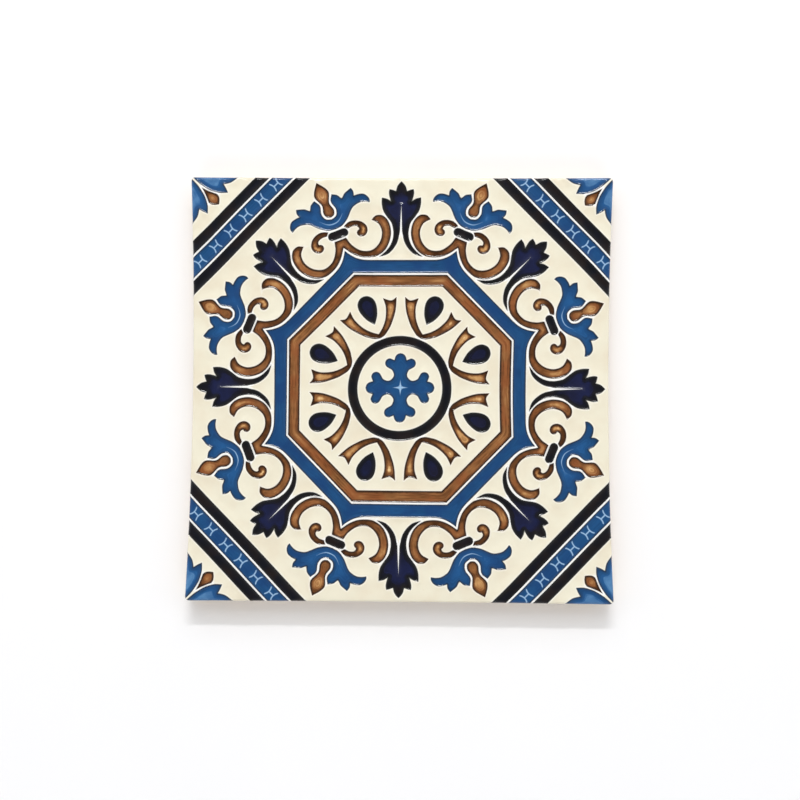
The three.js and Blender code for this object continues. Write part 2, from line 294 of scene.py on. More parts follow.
@dataclass(frozen=True)
class TileShape:
    """Sizes of the fired tile, and how its sides draw in."""

    side: float = 140.0
    thickness: float = 10.0
    corner_round: float = 1.5
    arris_round: float = 0.8
    back_chamfer: float = 0.8
    side_waist: float = 1.7
    end_waist: float = 0.25
    lap: float = 2.1
    lap_swing: float = 0.4
    lap_wave: float = 22.0
    lap_step: float = 0.12
    clay_inset: float = 0.13
    rim_step: float = 0.7
    corner_steps: int = 4

    @property
    def half(self) -> float:
        """Half of the tile's side."""
        return self.side / 2

    @property
    def diagonal(self) -> float:
        """Distance of the tile's corner from its centre, before the corner is rounded."""
        return self.half * math.sqrt(2)

    def depth_in(self, points: np.ndarray) -> np.ndarray:
        """How far points lie inside the tile's outline; negative outside it.

        Args:
            points: Points of the face, one per row.

        Returns:
            One distance per point.
        """
        away = np.abs(points)
        centre = self.half - self.corner_round
        past = away - centre
        at_corner = self.corner_round - np.linalg.norm(np.maximum(past, 0), axis=1)
        return np.where((past > 0).all(1), at_corner, self.half - away.max(1))

    def inset(self, points: np.ndarray, depth: float) -> np.ndarray:
        """Points of the rim moved into the tile.

        Args:
            points: Points on the tile's outline.
            depth: How far they move.

        Returns:
            The moved points.
        """
        centre = self.half - self.corner_round
        past = np.maximum(np.abs(points) - centre, 0)
        normal = past / np.linalg.norm(past, axis=1)[:, None] * np.sign(points)
        return points - depth * normal

    def rim(self) -> np.ndarray:
        """Points of the outline over one eighth, from the middle of a side to the corner.

        Returns:
            The points, the last one on the diagonal.
        """
        centre = self.half - self.corner_round
        side = evened(np.array([(0, self.half), (centre, self.half)]), self.rim_step)
        angle = np.linspace(0, EIGHTH, self.corner_steps)[1:]
        corner = centre + self.corner_round * np.stack([np.sin(angle), np.cos(angle)], 1)
        corner[-1] = corner[-1].mean()
        return np.concatenate([side, corner])

    def clipped(self, line: np.ndarray, fine: float) -> np.ndarray:
        """The part of a line that lies on the tile, with closer points on the rounded arris.

        Args:
            line: A line with one or both ends past the outline.
            fine: Largest distance between two points on the arris.

        Returns:
            The line between the outline's two sides, or from its inner end to the outline.
        """
        kept = np.flatnonzero(self.depth_in(line) > 0)
        points = list(line[kept])
        for last, beyond in ((kept[0], kept[0] - 1), (kept[-1], kept[-1] + 1)):
            if 0 <= beyond < len(line):
                end = self.crossing(line[last], line[beyond])
                points.insert(0 if beyond < last else len(points), end)
        dense = []
        for a, b in zip(points, points[1:]):
            near = self.depth_in(np.array([a, b])).min() < self.arris_round
            step = fine if near else math.dist(a, b) + 1
            dense.append(evened(np.array([a, b]), step)[:-1])
        return np.concatenate([*dense, [points[-1]]])

    def crossing(self, inner: np.ndarray, outer: np.ndarray) -> np.ndarray:
        """Where the line between two points meets the outline.

        Args:
            inner: Point on the tile.
            outer: Point past the outline.

        Returns:
            The point on the outline.
        """
        low, high = 0.0, 1.0
        for _ in range(50):
            middle = (low + high) / 2
            point = inner + middle * (outer - inner)
            if self.depth_in(point[None])[0] > 0:
                low = middle
            else:
                high = middle
        point = inner + low * (outer - inner)
        on_side = point[0] < self.half - self.corner_round
        return np.array([point[0], self.half]) if on_side else point

    def arris_drop(self, points: np.ndarray) -> np.ndarray:
        """How far the rounded arris falls below the face at each point."""
        short = np.clip(self.arris_round - self.depth_in(points), 0, self.arris_round)
        return self.arris_round - np.sqrt(self.arris_round**2 - short**2)

    def fired(self, points: np.ndarray) -> np.ndarray:
        """Places of the face after firing, with the sides drawn in at their middles.

        Args:
            points: Points of the true square.

        Returns:
            The same points on the fired tile.
        """
        u, v = (points / self.half).T
        return points * np.stack([
            1 - self.side_waist / self.half * (1 - v * v),
            1 - self.end_waist / self.half * (1 - u * u),
        ], 1)


@dataclass(frozen=True)
class Tone:
    """Lightness of a motif's glaze, from 0 to 1, by the distance from a point of the tile."""

    stops: tuple[tuple[float, float], ...]
    origin: tuple[float, float] = (0.0, 0.0)

    def at(self, points: np.ndarray) -> np.ndarray:
        """Lightness at points of the motif."""
        return np.interp(np.linalg.norm(points - self.origin, axis=1), *zip(*self.stops))


@dataclass
class Motif:
    """One pool of glaze: the shape that says what lies in it, and the lines that bound it."""

    name: str
    glaze: Glaze
    shape: np.ndarray
    lines: list[np.ndarray]
    tone: Tone


@dataclass(frozen=True)
class Pattern:
    """The tile's pattern over one eighth of the face, between the +Y axis and the diagonal."""

    tile: TileShape
    step: float = 0.46
    fine_step: float = 0.368
    arris_step: float = 0.15
    ridge: float = 0.6
    ring_inner: float = 14.3
    ring_width: float = 3.05
    amber_apothem: float = 33.75
    amber_width: float = 3.75
    blue_width: float = 4.25
    clasp_width: float = 7.0
    clasp_height: float = 2.8
    clasp_rise: float = 9.2
    vein_reach: tuple[float, float] = (8.0, 19.0)
    band_start: float = 15.4
    navy_band: float = 3.3
    blue_band: float = 4.95
    mark_pitch: float = 7.3
    mark_radius: float = 2.65
    mark_spread: float = math.radians(34)
    mark_count: int = 3
    mark_points: int = 11
    star_reach: float = 3.0

    @property
    def ring_outer(self) -> float:
        """Outer radius of the navy ring."""
        return self.ring_inner + self.ring_width

    @property
    def blue_apothem(self) -> float:
        """Inner edge of the blue octagon."""
        return self.amber_apothem + self.amber_width + self.ridge

    @property
    def blue_outer(self) -> float:
        """Outer edge of the blue octagon."""
        return self.blue_apothem + self.blue_width

    @property
    def corner(self) -> float:
        """Distance of the blue octagon's corner from the centre."""
        return self.blue_outer / math.cos(EIGHTH / 2)

    def motifs(self) -> list[Motif]:
        """Every pool of the eighth, from the centre outwards.

        Returns:
            The motifs.
        """
        return [
            self.cross(), self.ring(), self.arch(), self.drop(),
            self.amber_octagon(), self.blue_octagon(),
            self.scrolls(), self.clasp(), *self.curls(), self.palmette(), self.bud(),
            *self.leaves(), *self.bands(), self.petal(), self.kite(),
        ]

    def at_corner(self, line: np.ndarray) -> np.ndarray:
        """A line of a motif on the octagon's corner, which lies in the middle of the eighth."""
        return turned(line, EIGHTH / 2)

    def on_diagonal(self, half: np.ndarray) -> np.ndarray:
        """The half of a motif on the diagonal that lies in this eighth.

        Args:
            half: Right half of the motif, on the +Y axis.

        Returns:
            Its line, with its ends exactly on the diagonal.
        """
        line = turned(mirrored(half), EIGHTH)
        on_axis = np.abs(line[:, 0] - line[:, 1]) < CLOSE
        line[on_axis] = line[on_axis].mean(1)[:, None]
        return line

    def from_tile_corner(self, half: np.ndarray) -> np.ndarray:
        """A line measured from the tile's corner, as one measured from the centre."""
        return half * (1, -1) + (0, self.tile.diagonal)

    def closed(self, name: str, glaze: Glaze, line: np.ndarray, tone: Tone) -> Motif:
        """A motif whose line closes on itself."""
        return Motif(name, glaze, line[:-1], [line], tone)

    def cross(self) -> Motif:
        """Half an arm of the blue cross.

        Returns:
            The motif.
        """
        line = trace(CROSS_ARM, self.fine_step)
        line[-1] = line[-1].mean()
        shape = np.concatenate([[(0, 0)], line])
        return Motif("cross", Glaze.BLUE, shape, [line], Tone(((0, 0.15),)))

    def ring(self) -> Motif:
        """Navy ring round the cross.

        Returns:
            The motif.
        """
        edges = []
        for radius in (self.ring_inner, self.ring_outer):
            angle = np.linspace(0, EIGHTH, math.ceil(radius * EIGHTH / self.step) + 1)
            arc = radius * np.stack([np.sin(angle), np.cos(angle)], 1)
            arc[0, 0], arc[-1] = 0, arc[-1].mean()
            edges.append(arc)
        return Motif("ring", Glaze.NAVY, between(edges), edges, Tone(((0, 0.05),)))

    def arch(self) -> Motif:
        """Amber arch round a drop.

        Returns:
            The motif.
        """
        line = self.at_corner(whole(trace(ARCH, self.step, self.ring_outer)))
        tone = Tone(((19.5, 0.15), (24, 1.03), (28.5, 0.93), (30.5, 0.4)))
        return self.closed("arch", Glaze.AMBER, line, tone)

    def drop(self) -> Motif:
        """Navy drop in the arch."""
        line = self.at_corner(whole(trace(DROP, self.step, self.ring_outer)))
        return self.closed("drop", Glaze.NAVY, line, Tone(((0, 0.7),)))

    def octagon(self, apothem: float) -> np.ndarray:
        """Line of an octagon over the eighth, round its corner.

        Args:
            apothem: Distance of its sides from the centre.

        Returns:
            The line, from the axis to the diagonal.
        """
        turn = apothem * math.tan(EIGHTH / 2)
        end = apothem / math.sqrt(2)
        ends = [(0, apothem), (turn, apothem), (end, end)]
        sides = [evened(np.array(pair), self.step) for pair in zip(ends, ends[1:])]
        return np.concatenate([sides[0][:-1], sides[1]])

    def amber_octagon(self) -> Motif:
        """Amber frame of the medallion."""
        edges = [self.octagon(self.amber_apothem), self.octagon(self.amber_apothem + self.amber_width)]
        return Motif("amber_octagon", Glaze.AMBER, between(edges), edges, Tone(((0, 0.18),)))

    def blue_octagon(self) -> Motif:
        """Blue frame of the medallion, with a cusp on each corner.

        Returns:
            The motif.
        """
        cusp = self.at_corner(whole(trace(BLUE_CUSP, self.step, self.corner)))
        end = self.blue_outer / math.sqrt(2)
        before = evened(np.array([(0, self.blue_outer), cusp[0]]), self.step)
        after = evened(np.array([cusp[-1], (end, end)]), self.step)
        outer = np.concatenate([before[:-1], cusp, after[1:]])
        edges = [self.octagon(self.blue_apothem), outer]
        return Motif("blue_octagon", Glaze.BLUE, between(edges), edges, Tone(((0, 0.05),)))

    def scrolls(self) -> Motif:
        """Pair of amber scrolls.

        Returns:
            The motif.
        """
        line = self.at_corner(whole(trace(SCROLLS, self.step, self.corner)))
        tone = Tone(((45, 0.15), (49, 0.3), (54, 0.7), (57, 0.35)))
        return self.closed("scrolls", Glaze.AMBER, line, tone)

    def clasp(self) -> Motif:
        """Small navy clasp across the scrolls' stem.

        Returns:
            The motif.
        """
        radius = self.clasp_height / 2
        reach = self.clasp_width / 2 - radius
        angle = np.linspace(0, math.pi, 13)
        end = np.stack([reach + radius * np.sin(angle), radius * np.cos(angle)], 1)
        half = np.concatenate([[(0, radius)], end, [(0, -radius)]]) + (0, self.corner + self.clasp_rise)
        return self.closed("clasp", Glaze.NAVY, self.at_corner(whole(half)), Tone(((0, 0.1),)))

    def curls(self) -> list[Motif]:
        """The two amber curls beside the clasp.

        Returns:
            The right one and the left one.
        """
        curl = trace(CURL, self.fine_step, self.corner)
        curl = np.concatenate([curl, evened(curl[[-1, 0]], self.step)[1:]])
        clasp = self.at_corner(np.array([(0, self.corner + self.clasp_rise)]))[0]
        tone = Tone(((3, 0.4), (6, 2)), tuple(clasp))
        return [
            self.closed("right_curl", Glaze.AMBER, self.at_corner(curl), tone),
            self.closed("left_curl", Glaze.AMBER, self.at_corner(mirrored(curl)), tone),
        ]

    def palmette(self) -> Motif:
        """Blue palmette above the clasp.

        Returns:
            The motif.
        """
        line = self.at_corner(whole(trace(PALMETTE, self.step, self.corner)))
        middle = self.at_corner(np.array([(0, self.corner + 16)]))[0]
        return self.closed("palmette", Glaze.BLUE, line, Tone(((5, 0.5), (10, 0.1)), tuple(middle)))

    def bud(self) -> Motif:
        """Amber bud in the palmette.

        Returns:
            The motif.
        """
        line = self.at_corner(whole(trace(BUD, self.step, self.corner)))
        tone = Tone(((61, 0.05), (66, 0.25), (68.5, 0.65), (70.5, 0.45), (72.5, 0)))
        return self.closed("bud", Glaze.AMBER, line, tone)

    def leaves(self) -> list[Motif]:
        """The halves of the navy leaves on the axis and on the diagonal.

        Returns:
            The two halves.
        """
        half = trace(LEAF, self.step, self.blue_outer)
        tone = Tone(((50, 0.1), (57, 0.8), (63, 1), (66, 0.3), (68.5, 0)))
        across = self.on_diagonal(half)
        return [
            Motif("upright_leaf", Glaze.NAVY, half, [half], tone),
            Motif("slanting_leaf", Glaze.NAVY, across, [across], tone),
        ]

    def leaf_edges(self) -> list[np.ndarray]:
        """Edges of the two leaf halves without the sides of their veins."""
        half = trace(LEAF[:-1], self.step, self.blue_outer)
        return [half, self.on_diagonal(half)]

    def veins(self) -> list[np.ndarray]:
        """Middle lines of the two leaves' veins."""
        vein = np.array([(0, self.blue_outer + rise) for rise in self.vein_reach])
        return [vein, turned(vein, EIGHTH)]

    def band(self, name: str, glaze: Glaze, start: float, width: float, tone: Tone) -> Motif:
        """Half a straight band across the tile's corner.

        Args:
            name: Name of the band.
            glaze: Its glaze.
            start: Distance of its outer edge from the tile's corner, along the diagonal.
            width: Its width.
            tone: Its tone.

        Returns:
            The band's motif.
        """
        edges = []
        for depth in (start, start + width):
            long = evened(np.array([(0, depth), (depth + 2, depth)]), self.step)
            edges.append(self.on_diagonal(self.from_tile_corner(long)))
        lines = [self.tile.clipped(edge, self.arris_step) for edge in edges]
        return Motif(name, glaze, between(edges), lines, tone)

    def bands(self) -> list[Motif]:
        """The three bands across the tile's corner, from the corner inwards.

        Returns:
            The bands.
        """
        blue = self.band_start + self.navy_band + self.ridge
        inner = blue + self.blue_band + self.ridge
        plain = Tone(((0, 0.15),))
        return [
            self.band("outer_band", Glaze.NAVY, self.band_start, self.navy_band, plain),
            self.band("blue_band", Glaze.BLUE, blue, self.blue_band, plain),
            self.band("inner_band", Glaze.NAVY, inner, self.navy_band, plain),
        ]

    def petal(self) -> Motif:
        """One blue petal of the tile's corner.

        Returns:
            The motif.
        """
        line = self.on_diagonal(self.from_tile_corner(trace(PETAL, self.step)))
        past = self.tile.half + 10
        shape = np.concatenate([line, [(past, past), (past - 20, past)]])
        edge = self.tile.clipped(line, self.arris_step)
        return Motif("petal", Glaze.BLUE, shape, [edge], Tone(((0, 0.68),)))

    def kite(self) -> Motif:
        """Half the amber kite between the petals."""
        line = self.on_diagonal(self.from_tile_corner(trace(KITE, self.fine_step)))
        return Motif("kite", Glaze.AMBER, line, [line], Tone(((86, 0.1), (89, 0.52), (93, 0.3))))

    def marks(self) -> list[np.ndarray]:
        """Fine raised lines in the pools: the palmette's line and the chain in the blue band.

        Returns:
            One line for each stroke.
        """
        lines = [self.at_corner(whole(trace(PALMETTE_LINE, self.step, self.corner)))]
        middle = self.tile.diagonal - self.band_start - self.navy_band - self.ridge - self.blue_band / 2
        angle = np.linspace(-self.mark_spread, self.mark_spread, self.mark_points)
        arc = self.mark_radius * np.stack([np.cos(angle), np.sin(angle)], 1)
        bar = np.array([(self.mark_radius, 0), (self.mark_pitch - self.mark_radius, 0)])
        for place in range(self.mark_count):
            at = (place * self.mark_pitch, middle)
            after = ((place + 1) * self.mark_pitch, middle)
            for line in (arc + at, evened(bar, self.step) + at, arc * (-1, 1) + after):
                lines.append(turned(line * (-1, 1), EIGHTH))
        return lines


@dataclass(frozen=True)
class Relief:
    """Heights of the face, measured down from its highest point."""

    crest_drop: float = 0.03
    ground_drop: float = 0.35
    crest_at: float = 0.3
    crest_inside: float = 0.6
    crest_outside: float = 1.1
    dip: float = 0.4
    dip_width: float = 1.35
    crown: float = 0.1
    crown_width: float = 1.6
    mark_height: float = 0.06
    floor_drop: float = 1.5

    def ground(self, gap: np.ndarray) -> np.ndarray:
        """Height of the cream ground and its ridges.

        Args:
            gap: Distance of each point from the nearest pool.

        Returns:
            The heights.
        """
        width = np.where(gap < self.crest_at, self.crest_inside, self.crest_outside)
        ridge = np.exp(-(((gap - self.crest_at) / width) ** 2))
        return -self.ground_drop + (self.ground_drop - self.crest_drop) * ridge

    def pool(self, gap: np.ndarray) -> np.ndarray:
        """Height of a pool without its marks.

        Args:
            gap: Distance of each point from the pool's edge.

        Returns:
            The heights.
        """
        edge = self.ground(np.zeros(1))[0]
        channel = self.dip * (1 - np.clip(1 - gap / self.dip_width, 0, 1) ** 2)
        pillow = self.crown * (1 - np.exp(-((gap / self.crown_width) ** 2)))
        return edge - channel + pillow


class Kept:
    """Points kept so far, filed by square cells so that the near ones are found quickly."""

    CELL = 0.5

    def __init__(self) -> None:
        """Starts empty."""
        self.points: list[tuple[float, float]] = []
        self.cells: dict[tuple[int, int], list[int]] = {}
        self.given = 0

    def add(self, x: float, y: float) -> None:
        """Keeps a point."""
        self.cells.setdefault((int(x / self.CELL), int(y / self.CELL)), []).append(len(self.points))
        self.points.append((x, y))

    def seal(self) -> None:
        """Counts what is kept so far as given: it crowds other points half as much."""
        self.given = len(self.points)

    def crowds(self, x: float, y: float, least: float) -> bool:
        """Whether a place is too near a kept point.

        Args:
            x: Its place across.
            y: Its place upwards.
            least: Least distance from a kept point that wasn't given.

        Returns:
            True if it is too near.
        """
        reach = math.ceil(least / self.CELL)
        i, j = int(x / self.CELL), int(y / self.CELL)
        for a in range(i - reach, i + reach + 1):
            for b in range(j - reach, j + reach + 1):
                for k in self.cells.get((a, b), ()):
                    limit = least if k >= self.given else 0.5 * least
                    if (self.points[k][0] - x) ** 2 + (self.points[k][1] - y) ** 2 < limit * limit:
                        return True
        return False


@dataclass
class Eighth:
    """Net of triangles over one eighth of the face, its edges along every line of the pattern.

    A row is a distance from a line and the least distance between two points of the net.
    """

    pattern: Pattern
    rows_out: tuple[tuple[float, float], ...] = ((0.13, 0.25), (0.3, 0.2), (0.58, 0.3))
    rows_in: tuple[tuple[float, float], ...] = ((0.12, 0.25), (0.31, 0.2), (0.62, 0.3))
    mark_rows: tuple[float, ...] = (0.18, 0.4)
    ground_step: float = 1.25
    pool_step: float = 0.55
    star_step: float = 0.22
    mark_least: float = 0.15
    arris_least: float = 0.12
    star_margin: float = 0.4
    axis_clear: float = 0.07
    diagonal_clear: float = 0.1
    line_clear: float = 0.06
    rim_clear: float = 0.02
    end_clear: float = 0.2
    border_scan: float = 0.05
    border_share: float = 0.5
    border_steps: tuple[float, float] = (0.14, 1.0)
    points: np.ndarray = field(default=None, init=False)
    faces: np.ndarray = field(default=None, init=False)
    floors: tuple[np.ndarray, np.ndarray] = field(default=None, init=False)

    def __post_init__(self) -> None:
        """Lays the net."""
        self.motifs = self.pattern.motifs()
        self.lines = [line for motif in self.motifs for line in motif.lines]
        self.marks = self.pattern.marks()
        self.rim = self.rim_points()
        fixed = [*self.lines, *self.marks]
        loose = np.concatenate([self.rim, self.border_points(), self.scattered()])
        self.points, self.faces = self.net(fixed, loose)
        self.floors = self.net(self.lines, np.concatenate([self.rim, [(0.0, 0.0)]]))

    def rim_points(self) -> np.ndarray:
        """Points of the outline, with the ends of the lines that reach it.

        Returns:
            The points, from the axis to the diagonal.
        """
        ends = np.array([line[k] for line in self.lines for k in (0, -1)])
        ends = ends[self.pattern.tile.depth_in(ends) < CLOSE]
        rim = self.pattern.tile.rim()
        apart = np.linalg.norm(rim[:, None] - ends, axis=2).min(1) > self.end_clear
        apart[[0, -1]] = True
        both = np.concatenate([rim[apart], ends])
        return both[np.argsort(np.arctan2(both[:, 0], both[:, 1]))]

    def border_points(self) -> np.ndarray:
        """Points along the two straight borders of the eighth, closer where a line is near.

        Returns:
            The points.
        """
        found = [(0.0, 0.0)]
        for end in (self.rim[0], self.rim[-1]):
            length = np.linalg.norm(end)
            along = np.arange(0, length, self.border_scan)
            gaps = gap_to(along[:, None] / length * end, self.lines)
            at = 0.0
            while True:
                gap = np.interp(at, along, gaps)
                at += np.clip(self.border_share * gap, *self.border_steps)
                if at > length - self.diagonal_clear:
                    break
                found.append(tuple(at / length * end))
        points = np.array(found)
        return points[gap_to(points, self.lines) > self.axis_clear]

    def scattered(self) -> np.ndarray:
        """Points beside the lines and over the open parts, none of them too near another.

        Returns:
            The points.
        """
        marks = [self.both_sides([line], away) for line in self.marks for away in self.mark_rows]
        arris = [self.pattern.tile.inset(self.rim[1:-1], depth) for depth in self.arris_rows()]
        star = self.hexagons(self.star_step, self.pattern.star_reach + self.star_margin)
        sets = [(np.concatenate(marks), self.mark_least), (np.concatenate(arris), self.arris_least),
                (star, self.mark_least)]
        sides = ((self.rows_in, self.pool_step, True), (self.rows_out, self.ground_step, False))
        for rows, _, pooled in sides:
            for away, least in rows:
                row = self.both_sides(self.lines, away)
                row = row[self.in_pool(row) == pooled]
                sets.append((row[gap_to(row, self.lines) > 0.9 * away], least))
        for rows, step, pooled in sides:
            fill = self.hexagons(step)
            fill = fill[self.in_pool(fill) == pooled]
            clear = rows[-1][0] + 0.3 * step
            sets.append((fill[gap_to(fill, self.lines) > clear], 0.6 * step))
        return self.thinned(sets)

    def arris_rows(self) -> list[float]:
        """Insets of the rows of points that round the arris."""
        radius = self.pattern.tile.arris_round
        return [radius * (1 - math.cos(angle)) for angle in np.radians((22.5, 45, 67.5, 90))]

    def both_sides(self, lines: list[np.ndarray], away: float) -> np.ndarray:
        """Points beside lines, at a distance on both sides."""
        return np.concatenate([self.beside(line, side * away) for line in lines for side in (1, -1)])

    def beside(self, line: np.ndarray, away: float) -> np.ndarray:
        """Points beside a line.

        Args:
            line: The line.
            away: Their distance to its left, or to its right if negative.

        Returns:
            Points beside the middle of each stretch and beside each corner.
        """
        run = np.diff(line, axis=0)
        normal = np.stack([-run[:, 1], run[:, 0]], 1) / np.linalg.norm(run, axis=1)[:, None]
        middle = (line[1:] + line[:-1]) / 2 + normal * away
        corner = line[1:-1] + (normal[1:] + normal[:-1]) / 2 * away
        return np.concatenate([middle, corner])

    def hexagons(self, step: float, reach: float = math.inf) -> np.ndarray:
        """A hexagonal grid of points over the eighth.

        Args:
            step: Distance between neighbours.
            reach: Radius about the centre that they stay in.

        Returns:
            The points.
        """
        size = self.pattern.tile.half
        rows = []
        for k, y in enumerate(np.arange(0.35 * step, size, step * math.sqrt(3) / 2)):
            x = np.arange((k % 2) * step / 2, size, step)
            rows.append(np.stack([x, np.full(len(x), y)], 1))
        points = np.concatenate(rows)
        return points[np.linalg.norm(points, axis=1) < reach]

    def in_pool(self, points: np.ndarray) -> np.ndarray:
        """Whether each point lies in any pool."""
        return np.any([inside(points, motif.shape) for motif in self.motifs], axis=0)

    def thinned(self, sets: list[tuple[np.ndarray, float]]) -> np.ndarray:
        """Points of several sets, each kept only if it is clear of what was kept before.

        Args:
            sets: Sets of points in the order of their worth, each with its least distance.

        Returns:
            The kept points.
        """
        kept = Kept()
        for x, y in np.concatenate([*self.lines, *self.marks, self.rim, self.border_points()]):
            kept.add(x, y)
        kept.seal()
        for points, least in sets:
            x, y = points.T
            clear_of_border = (x > self.axis_clear) & (y - x > self.diagonal_clear)
            on_tile = self.pattern.tile.depth_in(points) > self.rim_clear
            points = points[clear_of_border & on_tile]
            for x, y in points[gap_to(points, [*self.lines, *self.marks]) > self.line_clear]:
                if not kept.crowds(x, y, least):
                    kept.add(x, y)
        return np.array(kept.points[kept.given:])

    def net(self, lines: list[np.ndarray], loose: np.ndarray) -> tuple[np.ndarray, np.ndarray]:
        """Triangles over the eighth.

        Args:
            lines: Lines that edges of the triangles follow.
            loose: Further points.

        Returns:
            The points, and the three corners of each triangle, counter-clockwise from above.
        """
        points, edges = [], []
        for line in lines:
            first = len(points)
            points += [Vector(p) for p in line]
            edges += [(k, k + 1) for k in range(first, len(points) - 1)]
        points += [Vector(p) for p in loose]
        found, _, faces, *_ = delaunay_2d_cdt(points, edges, [], 0, WELD)
        at = np.array(found)
        tri = np.array(faces)
        a, b, c = at[tri].transpose(1, 0, 2)
        area = (b - a)[:, 0] * (c - a)[:, 1] - (b - a)[:, 1] * (c - a)[:, 0]
        return at, tri[area > CLOSE]

    def kinds(self, points: np.ndarray, faces: np.ndarray) -> np.ndarray:
        """The motif that each triangle lies in.

        Args:
            points: Points of the net.
            faces: Its triangles.

        Returns:
            The motif's place in the list for each triangle, or -1 on the ground.
        """
        middle = points[faces].mean(1)
        found = np.full(len(faces), -1)
        for index, motif in enumerate(self.motifs):
            found[inside(middle, motif.shape)] = index
        return found


class Level(IntEnum):
    """The surfaces that a point of the net appears on."""

    GROUND = 0
    POOL = 1
    FLOOR = 2
    LAP = 3
    CLAY = 4
    LOW = 5
    BACK = 6


@dataclass(frozen=True)
class Handwork:
    """Small unevenness of a pressed tile that was glazed by hand."""

    shift: float = 0.1
    shift_wave: float = 38.0
    calm_rim: float = 6.0
    swell: float = 0.012
    swell_wave: float = 16.0
    wave_count: int = 7
    seed: int = 11

    def waves(self, points: np.ndarray, length: float, channel: int) -> np.ndarray:
        """A smooth field of about unit strength.

        Args:
            points: Points of the face.
            length: Mean wavelength.
            channel: Number of the field; each has its own waves.

        Returns:
            The field's value at each point.
        """
        rng = np.random.default_rng(self.seed + channel)
        total = np.zeros(len(points))
        least, most = (0, 0, 0.7), (math.tau, math.tau, 1.6)
        for angle, phase, stretch in rng.uniform(least, most, (self.wave_count, 3)):
            along = points @ (math.cos(angle), math.sin(angle))
            total += np.sin(math.tau * along / (length * stretch) + phase)
        return total / math.sqrt(self.wave_count / 2)

    def shifted(self, points: np.ndarray, depth: np.ndarray) -> np.ndarray:
        """Points of the pattern moved a little.

        Args:
            points: The points.
            depth: How far each lies inside the rim, near which they hold still.

        Returns:
            The moved points.
        """
        calm = np.clip(depth / self.calm_rim, 0, 1)
        move = [self.waves(points, self.shift_wave, channel) for channel in (0, 1)]
        return points + self.shift * (calm * calm * (3 - 2 * calm) * np.stack(move)).T


